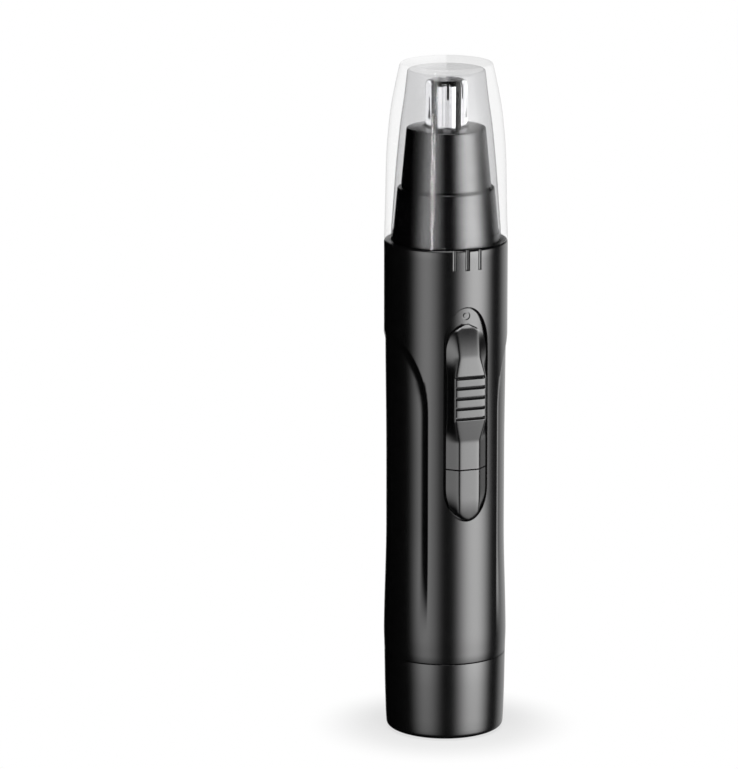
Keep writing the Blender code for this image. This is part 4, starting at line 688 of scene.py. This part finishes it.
class TRIMMER_OT_collar(TrimmerStep):
    """Build the lower cone"""
    bl_idname = "trimmer.collar"
    bl_label = "Collar"

    def execute(self, context):
        ring_top = SHOULDER + 1.8 * MM
        top_radius = COLLAR_RADIUS - 1.05 * MM
        bore = top_radius - 1.0 * MM
        deck_low = COLLAR_LOW + 1.5 * MM
        deck_high = deck_low + 1.6 * MM
        hole = 3.6 * MM
        outline = [(COLLAR_RADIUS, COLLAR_LOW), (COLLAR_RADIUS, ring_top), (COLLAR_RADIUS - 0.14 * MM, ring_top),
                   (COLLAR_RADIUS - 0.3 * MM, ring_top + 1.2 * MM), (top_radius, COLLAR_HIGH), (bore, COLLAR_HIGH),
                   (bore, deck_high), (hole, deck_high), (hole, deck_low),
                   (COLLAR_RADIUS - 1.2 * MM, deck_low), (COLLAR_RADIUS - 1.2 * MM, COLLAR_LOW)]
        radii = [0, 0.12 * MM, 0, 1.5 * MM, 0.35 * MM, 0.1 * MM, 0, 0, 0, 0, 0]
        collar = turned("collar_cone", rounded(outline, radii))
        finish_piece(collar, black_plastic(), "handle", "black_plastic", "collar")
        return {"FINISHED"}


class TRIMMER_OT_head_cone(TrimmerStep):
    """Build the upper cone that carries the guard"""
    bl_idname = "trimmer.head_cone"
    bl_label = "Head cone"

    def execute(self, context):
        collar_top_radius = COLLAR_RADIUS - 1.05 * MM
        base = collar_top_radius - 0.75 * MM
        top = base - 1.15 * MM
        skirt = collar_top_radius - 1.3 * MM
        low = COLLAR_HIGH + self.sizes.gap
        guard = self.sizes.guard_radius
        flange = guard + 1.3 * MM
        shoulder = CONE_HIGH - 3.1 * MM
        outline = [(skirt, CONE_LOW), (skirt, low), (base, low), (base - 0.04 * MM, low + 0.5 * MM),
                   (top, CONE_HIGH - 0.25 * MM), (guard + 0.6 * MM, CONE_HIGH), (guard + 0.4 * MM, CONE_HIGH - 0.15 * MM),
                   (guard + 0.3 * MM, CONE_HIGH - 0.3 * MM), (guard + 0.3 * MM, shoulder), (flange, shoulder),
                   (flange, shoulder - 8.1 * MM), (skirt - 1.3 * MM, shoulder - 10.1 * MM), (skirt - 1.3 * MM, CONE_LOW)]
        radii = [0.15 * MM, 0, 0.12 * MM, 0, 0.35 * MM, 0.12 * MM, 0, 0, 0, 0, 0, 0, 0]
        cone = turned("head_cone_shell", rounded(outline, radii, 7))
        finish_piece(cone, black_plastic(), "head", "black_plastic", "head_cone")
        return {"FINISHED"}


def radial_cutters(name, tool, turns, start):
    """Geometry Nodes ring of copies of a tool about Z."""
    tree = bpy.data.node_groups.new(name, "GeometryNodeTree")
    tree.interface.new_socket("Geometry", in_out="INPUT", socket_type="NodeSocketGeometry")
    count = tree.interface.new_socket("Count", in_out="INPUT", socket_type="NodeSocketInt")
    first = tree.interface.new_socket("Start angle", in_out="INPUT", socket_type="NodeSocketFloat")
    tree.interface.new_socket("Geometry", in_out="OUTPUT", socket_type="NodeSocketGeometry")
    nodes, links = tree.nodes, tree.links
    source = nodes.new("NodeGroupInput")
    result = nodes.new("NodeGroupOutput")
    points = nodes.new("GeometryNodeMeshLine")
    number = nodes.new("GeometryNodeInputIndex")
    share = nodes.new("ShaderNodeMath")
    share.operation = "DIVIDE"
    full = nodes.new("ShaderNodeMath")
    full.operation = "MULTIPLY_ADD"
    full.inputs[1].default_value = 2 * math.pi
    turn = nodes.new("ShaderNodeCombineXYZ")
    copies = nodes.new("GeometryNodeInstanceOnPoints")
    real = nodes.new("GeometryNodeRealizeInstances")
    finish = nodes.new("GeometryNodeSetMaterial")
    finish.inputs["Material"].default_value = polished_steel()
    points.inputs["Offset"].default_value = (0, 0, 0)
    links.new(source.outputs["Count"], points.inputs["Count"])
    links.new(number.outputs[0], share.inputs[0])
    links.new(source.outputs["Count"], share.inputs[1])
    links.new(share.outputs[0], full.inputs[0])
    links.new(source.outputs["Start angle"], full.inputs[2])
    links.new(full.outputs[0], turn.inputs["Z"])
    links.new(points.outputs["Mesh"], copies.inputs["Points"])
    links.new(source.outputs["Geometry"], copies.inputs["Instance"])
    links.new(turn.outputs[0], copies.inputs["Rotation"])
    links.new(copies.outputs["Instances"], real.inputs["Geometry"])
    links.new(real.outputs["Geometry"], finish.inputs["Geometry"])
    links.new(finish.outputs["Geometry"], result.inputs["Geometry"])
    ring = tool.modifiers.new("ring", "NODES")
    ring.node_group = tree
    ring[count.identifier] = turns
    ring[first.identifier] = start
    bake(tool)
    return tool


class TRIMMER_OT_cutter_guard(TrimmerStep):
    """Build the slotted steel guard"""
    bl_idname = "trimmer.cutter_guard"
    bl_label = "Cutter guard"

    def execute(self, context):
        radius = self.sizes.guard_radius
        wall = 0.35 * MM
        dome = 1.25 * MM
        flange = radius + 1.0 * MM
        flange_top = GUARD_LOW + 0.8 * MM
        outline = [(0, GUARD_HIGH - wall)]
        outline += arc((radius - dome, GUARD_HIGH - dome), (dome - wall, dome - wall), 90, 0, 8)
        outline += [(radius - wall, GUARD_LOW), (flange, GUARD_LOW), (flange, flange_top), (radius, flange_top)]
        outline += arc((radius - dome, GUARD_HIGH - dome), (dome, dome), 0, 90, 14)
        outline += [(0, GUARD_HIGH)]
        guard = turned("guard_tube", outline, 256)
        half = self.sizes.guard_slot / 2
        slot_low = GUARD_HIGH - 3.7 * MM
        tool = prism("slot_tool", rounded([(-half, slot_low), (half, slot_low), (half, GUARD_HIGH + MM),
                                           (-half, GUARD_HIGH + MM)], [half, half, 0, 0]),
                     -radius - MM, -1.1 * MM, "Y")
        cutters = radial_cutters("Guard slot ring", tool, self.sizes.guard_slots, math.radians(-16))
        combine(guard, cutters, smooth_angle=30)
        for angle in (50, -74):
            low = GUARD_HIGH - 8.0 * MM
            outline = arc((0, low + 0.42 * MM), (0.42 * MM, 0.42 * MM), 180, 360, 8)
            outline += [(0.4 * MM, low + 0.8 * MM), (0.15 * MM, low + 2.2 * MM), (0.15 * MM, slot_low + 0.3 * MM),
                        (-0.15 * MM, slot_low + 0.3 * MM), (-0.15 * MM, low + 2.2 * MM), (-0.4 * MM, low + 0.8 * MM)]
            side = prism("side_slot", outline, -radius - MM, -radius + 2 * wall, "Y")
            side.rotation_euler[2] = math.radians(angle)
            combine(guard, side, smooth_angle=30)
        finish_piece(guard, polished_steel(), "head", "polished_steel", "cutter_guard")
        return {"FINISHED"}


class TRIMMER_OT_protective_cap(TrimmerStep):
    """Build the clear cap"""
    bl_idname = "trimmer.protective_cap"
    bl_label = "Protective cap"

    def execute(self, context):
        height = CAP_HIGH - CAP_LOW
        outer = [(1.0, 0.0), (0.985, 0.145), (0.965, 0.51), (0.9, 0.74), (0.819, 0.885), (0.747, 1.0)]
        inner = [(0.892, 0.0), (0.888, 0.05), (0.811, 0.42), (0.743, 0.66), (0.681, 0.80), (0.628, 0.95)]
        ceiling = CAP_HIGH - 1.4 * MM
        mouth = BODY_RADIUS - self.sizes.wall
        outside = [(BODY_RADIUS * radius, CAP_LOW + height * share) for radius, share in outer]
        inside = [(mouth * radius / inner[0][0], CAP_LOW + height * share) for radius, share in inner]
        inside[-1] = (inside[-1][0], ceiling)
        outline = [(0, ceiling)] + inside[::-1] + outside + [(0, CAP_HIGH)]
        radii = [0, 0.5 * MM] + [4 * MM] * 4 + [0.15 * MM, 0.15 * MM] + [4 * MM] * 4 + [0.5 * MM, 0]
        cap = turned("cap_shell", rounded(outline, radii, 6))
        wall = cap.data.attributes.new("inner_wall", "FLOAT", "POINT")
        for place, point in zip(wall.data, cap.data.vertices):
            share = (point.co.z - CAP_LOW) / height
            middle = BODY_RADIUS * (0.94 - 0.2 * share ** 2.5)
            place.value = float(point.co.z <= ceiling and math.hypot(point.co.x, point.co.y) < middle)
        finish_piece(cap, clear_plastic(), "cap", "clear_plastic", "protective_cap")
        return {"FINISHED"}


class TRIMMER_OT_switch_slider(TrimmerStep):
    """Build the slider with its grip pad"""
    bl_idname = "trimmer.switch_slider"
    bl_label = "Switch slider"

    def execute(self, context):
        sizes = self.sizes
        carve, dense = grip_carver(sizes)
        underside = BODY_RADIUS - sizes.bed_recess + 0.25 * MM
        rings = []
        for height in clustered(SLIDER_LOW, SLIDER_HIGH, 0.35 * MM, dense, 0.07 * MM):
            half = slider_half(sizes, height)
            facet = sizes.slider_facet + (sizes.pad_half - sizes.slider_facet) * pad_bulge(height)
            facet = min(facet, half * 0.8)
            rings.append(section(sizes, half, facet, slider_top(sizes, height), underside, height, carve))
        slider = lofted("slider_grip", rings, 30)
        low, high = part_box("slider_carriage")[0][2] + 3.5 * MM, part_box("slider_carriage")[1][2] - 3.5 * MM
        shank = box("shank", (-1.3 * MM, -underside - 0.5 * MM, low), (1.3 * MM, -SLIDER_BACK, high))
        combine(slider, shank, "UNION", 30)
        finish_piece(slider, black_plastic(), "slider", "black_plastic", "switch_slider")
        return {"FINISHED"}


class TRIMMER_OT_switch_bed(TrimmerStep):
    """Build the insert that fills the window, with its fixed tail and a plain ring mark"""
    bl_idname = "trimmer.switch_bed"
    bl_label = "Switch bed"

    def execute(self, context):
        sizes = self.sizes
        surface = BODY_RADIUS - sizes.bed_recess
        bore = BODY_RADIUS - sizes.wall - sizes.gap
        bed = box("bed_insert", (-5.8 * MM, -bore - MM, BED_LOW), (5.8 * MM, -BED_BACK, BED_HIGH))
        circle = arc((0, 0), (bore, bore), 0.7, 360.7 - 360 / FINE, FINE - 1)
        combine(bed, prism("bore_round", circle, BED_LOW - MM, BED_HIGH + MM), "INTERSECT")
        plug = prism("plug", window_outline(sizes, sizes.gap), -BODY_RADIUS - MM, -BED_BACK - MM, "Y")
        circle = arc((0, 0), (surface, surface), 0.7, 360.7 - 360 / FINE, FINE - 1)
        combine(plug, prism("bed_round", circle, BED_LOW, BED_HIGH), "INTERSECT")
        combine(bed, plug, "UNION")
        combine(bed, self.tail(sizes, surface), "UNION", 30)
        mark = turned("off_mark", [(0.55 * MM, -MM), (0.55 * MM, 0), (0.9 * MM, 0), (0.9 * MM, -MM)], 48)
        mark.rotation_euler[0] = math.radians(-90)
        mark.location = (0, -surface + 0.3 * MM, SHOULDER - sizes.window_drop - 1.9 * MM)
        combine(bed, mark, smooth_angle=30)
        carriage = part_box("slider_carriage")
        combine(bed, box("channel", (-3.9 * MM, carriage[0][1] - sizes.gap, carriage[0][2] - 2 * MM),
                         (3.9 * MM, 0, carriage[1][2] + 4.8 * MM)), smooth_angle=30)
        combine(bed, box("shank_slot", (-1.6 * MM, -BODY_RADIUS - MM, carriage[0][2] + 3.2 * MM),
                         (1.6 * MM, 0, carriage[1][2] - 0.4 * MM)), smooth_angle=30)
        finish_piece(bed, black_plastic(), "handle", "black_plastic", "switch_bed")
        return {"FINISHED"}

    def tail(self, sizes, surface):
        window_low = SHOULDER - sizes.window_drop - sizes.window_top_arch - sizes.window_straight \
            - sizes.window_bottom_arch
        straight = window_low + sizes.window_bottom_arch
        top = SLIDER_LOW - sizes.gap
        low = window_low + sizes.gap + 0.1 * MM
        rings = []
        for index in range(61):
            height = low + (top - low) * (index / 60) ** 1.5
            share = min(1.0, max(0.0, (straight - height) / (sizes.window_bottom_arch - sizes.gap)))
            half = sizes.slider_half * math.sqrt(max(0.015, 1 - share ** 2))
            rise = math.sin(math.pi / 2 * min(1.0, (height - window_low) / (11.2 * MM) / 0.45))
            crest = BODY_RADIUS + sizes.slider_rise - 0.5 * MM * (1 - rise)
            facet = min(sizes.slider_facet, half * 0.8)
            rings.append(section(sizes, half, facet, crest, surface - 0.5 * MM, height))
        return lofted("tail", rings, 30)


class TRIMMER_OT_inner_pieces(TrimmerStep):
    """Give every carried-over inner piece its finish"""
    bl_idname = "trimmer.inner_pieces"
    bl_label = "Inner pieces"

    def execute(self, context):
        slots = {entry["node"]: entry["material_slot"] for entry in frame["record"]["subparts"]}
        for node, item in frame["nodes"].items():
            if slots[node] in INNER_FINISHES:
                material = inner_finish(slots[node])
                for place in item.material_slots:
                    place.material = material
        return {"FINISHED"}


CAMERA_TURN = math.radians(20.6)
CAMERA_TILT = math.radians(13.3)
CAMERA_DISTANCE = 1.15
# Panels that light one piece only: name, piece, angle from the camera, width, power.
LINKED_PANELS = (("guard_front", "guard_tube", 4, 0.5, 2.6), ("guard_left", "guard_tube", -122, 1.3, 7.0),
                 ("guard_right", "guard_tube", 122, 1.3, 7.0), ("cap_glint", "cap_shell", -27, 0.01, 3.0))
# The last two lie behind the trimmer.
# Bands of light: centre from the camera, half widths of the full and of the faded part (degrees), strength.
BANDS = ((-36, 2, 36, 2.5), (57, 4, 44, 6.6), (152, 12, 40, 1.1), (-175, 2, 12, 1.6))
# Elevations (degrees) between which the bands fade: dark below, full, full, dark above.
FADE = (-48, 2, 2, 20)
TARGET = Vector((0, 0, 0.071))


def around(angle, distance, height=0.0):
    """A place round the trimmer; the angle is measured from the camera, positive to its right."""
    turn = -CAMERA_TURN + angle
    return Vector((distance * math.sin(turn), -distance * math.cos(turn), TARGET.z + height))


def panel(name, angle, distance, width, tall, power, height=0.0, tone=(1, 1, 1)):
    """A soft upright panel that faces the trimmer."""
    light = bpy.data.lights.new(name, "AREA")
    light.shape = "RECTANGLE"
    light.size = width
    light.size_y = tall
    light.energy = power
    light.color = tone
    item = bpy.data.objects.new(name, light)
    item.location = around(angle, distance, height)
    aim = Vector((TARGET.x, TARGET.y, TARGET.z)) - item.location
    item.rotation_euler = aim.to_track_quat("-Z", "Y").to_euler()
    bpy.context.scene.collection.objects.link(item)
    return item


class TRIMMER_OT_stage(TrimmerStep):
    """Build the floor, the soft lights and the camera"""
    bl_idname = "trimmer.stage"
    bl_label = "Stage"

    def execute(self, context):
        self.floor(context)
        self.world(context)
        panel("top_panel", 0.0, 0.25, 0.7, 0.7, 8.0, 1.2)
        for name, piece, angle, width, power in LINKED_PANELS:
            light = panel(name, math.radians(angle), 0.7, width, 1.2, power)
            only = bpy.data.collections.new(name)
            only.objects.link(bpy.data.objects[piece])
            light.light_linking.receiver_collection = only
        self.camera(context)
        return {"FINISHED"}

    def floor(self, context):
        shape = bmesh.new()
        bmesh.ops.create_circle(shape, cap_ends=True, segments=96, radius=6.0)
        floor = link("floor", shape)
        material, nodes, links, shader = fresh_material("Floor")
        shader.inputs["Base Color"].default_value = (*context.scene.trimmer_colours.floor, 1)
        shader.inputs["Roughness"].default_value = 1.0
        shader.inputs["Specular IOR Level"].default_value = 0.0
        where = nodes.new("ShaderNodeTexCoord")
        reach = nodes.new("ShaderNodeVectorMath")
        reach.operation = "LENGTH"
        links.new(where.outputs["Object"], reach.inputs[0])
        blend = nodes.new("ShaderNodeMapRange")
        blend.interpolation_type = "SMOOTHSTEP"
        blend.inputs["From Min"].default_value = 0.0135
        blend.inputs["From Max"].default_value = 0.03
        blend.inputs["To Min"].default_value = 0.7
        links.new(reach.outputs["Value"], blend.inputs["Value"])
        path = nodes.new("ShaderNodeLightPath")
        seen = nodes.new("ShaderNodeMath")
        seen.operation = "MAXIMUM"
        links.new(path.outputs["Is Camera Ray"], seen.inputs[0])
        links.new(path.outputs["Is Transmission Ray"], seen.inputs[1])
        factor = nodes.new("ShaderNodeMath")
        factor.operation = "MULTIPLY"
        links.new(seen.outputs[0], factor.inputs[0])
        links.new(blend.outputs["Result"], factor.inputs[1])
        white = nodes.new("ShaderNodeEmission")
        white.inputs["Strength"].default_value = 1.0
        mix = nodes.new("ShaderNodeMixShader")
        links.new(factor.outputs[0], mix.inputs["Fac"])
        links.new(shader.outputs[0], mix.inputs[1])
        links.new(white.outputs[0], mix.inputs[2])
        links.new(mix.outputs[0], nodes["Material Output"].inputs["Surface"])
        floor.data.materials.append(material)
        floor.visible_glossy = False
        floor.visible_shadow = False

    def world(self, context):
        """White to the camera; round the trimmer, soft upright bands of light with dark between them."""
        world = bpy.data.worlds.new("Studio")
        context.scene.world = world
        world.use_nodes = True
        nodes, links = world.node_tree.nodes, world.node_tree.links
        where = nodes.new("ShaderNodeTexCoord")
        parts = nodes.new("ShaderNodeSeparateXYZ")
        links.new(where.outputs["Generated"], parts.inputs[0])
        turn = nodes.new("ShaderNodeVectorRotate")
        turn.rotation_type = "Z_AXIS"
        turn.inputs["Angle"].default_value = CAMERA_TURN
        links.new(where.outputs["Generated"], turn.inputs["Vector"])
        links.new(turn.outputs[0], parts.inputs[0])
        ahead = math_node(nodes, links, "MULTIPLY", parts.outputs["Y"], -1.0)
        angle = math_node(nodes, links, "ARCTAN2", parts.outputs["X"], ahead)
        total = None
        for centre, inner, outer, strength in BANDS:
            away = math_node(nodes, links, "SUBTRACT", angle, math.radians(centre))
            away = math_node(nodes, links, "ABSOLUTE", away)
            band = nodes.new("ShaderNodeMapRange")
            band.interpolation_type = "SMOOTHSTEP"
            band.inputs["From Min"].default_value = math.radians(outer)
            band.inputs["From Max"].default_value = math.radians(inner)
            band.inputs["To Max"].default_value = strength
            links.new(away, band.inputs["Value"])
            total = band.outputs["Result"] if total is None else math_node(nodes, links, "ADD", total,
                                                                           band.outputs["Result"])
        rise = math_node(nodes, links, "ARCSINE", parts.outputs["Z"])
        for dark, full in (FADE[:2], FADE[:1:-1]):
            fade = nodes.new("ShaderNodeMapRange")
            fade.interpolation_type = "SMOOTHSTEP"
            fade.inputs["From Min"].default_value = math.radians(dark)
            fade.inputs["From Max"].default_value = math.radians(full)
            links.new(rise, fade.inputs["Value"])
            total = math_node(nodes, links, "MULTIPLY", total, fade.outputs["Result"])
        path = nodes.new("ShaderNodeLightPath")
        seen = path.outputs["Is Camera Ray"]
        mix = nodes.new("ShaderNodeMix")
        links.new(seen, mix.inputs["Factor"])
        links.new(total, mix.inputs["A"])
        mix.inputs["B"].default_value = 1.0
        ground = nodes["Background"]
        ground.inputs["Color"].default_value = (1, 1, 1, 1)
        links.new(mix.outputs["Result"], ground.inputs["Strength"])

    def camera(self, context):
        camera = bpy.data.cameras.new("camera")
        camera.lens = 255.0
        camera.sensor_width = 36.0
        camera.shift_x = -0.0993
        camera.shift_y = 0.022
        camera.clip_end = 20.0
        item = bpy.data.objects.new("camera", camera)
        lift = CAMERA_DISTANCE * math.sin(CAMERA_TILT)
        item.location = around(0.0, CAMERA_DISTANCE * math.cos(CAMERA_TILT), lift)
        item.rotation_euler = (TARGET - item.location).to_track_quat("-Z", "Y").to_euler()
        item.rotation_euler.rotate_axis("Z", math.radians(0.18))
        context.scene.collection.objects.link(item)
        context.scene.camera = item
        context.scene.view_settings.view_transform = "Standard"


class TRIMMER_PT_panel(bpy.types.Panel):
    """Sizes, colours and steps of the trimmer"""
    bl_idname = "TRIMMER_PT_panel"
    bl_label = "Trimmer"
    bl_space_type = "VIEW_3D"
    bl_region_type = "UI"
    bl_category = "Trimmer"

    def draw(self, context):
        for step in STEPS:
            self.layout.operator(step.bl_idname)
        for group in (context.scene.trimmer_sizes, context.scene.trimmer_colours):
            for name in group.__annotations__:
                self.layout.prop(group, name)


STEPS = (TRIMMER_OT_housing, TRIMMER_OT_battery_cap, TRIMMER_OT_collar, TRIMMER_OT_head_cone,
         TRIMMER_OT_cutter_guard, TRIMMER_OT_protective_cap, TRIMMER_OT_switch_slider,
         TRIMMER_OT_switch_bed, TRIMMER_OT_inner_pieces, TRIMMER_OT_stage)
CLASSES = (TrimmerSizes, TrimmerColours) + STEPS + (TRIMMER_PT_panel,)


def register():
    for item in CLASSES:
        bpy.utils.register_class(item)
    bpy.types.Scene.trimmer_sizes = bpy.props.PointerProperty(type=TrimmerSizes)
    bpy.types.Scene.trimmer_colours = bpy.props.PointerProperty(type=TrimmerColours)


def unregister():
    del bpy.types.Scene.trimmer_colours
    del bpy.types.Scene.trimmer_sizes
    for item in reversed(CLASSES):
        bpy.utils.unregister_class(item)


def main():
    register()
    for step in STEPS:
        group, name = step.bl_idname.split(".")
        if getattr(getattr(bpy.ops, group), name)() != {"FINISHED"}:
            raise RuntimeError(f"{step.bl_label} didn't finish")


if __name__ == "__main__":
    main()
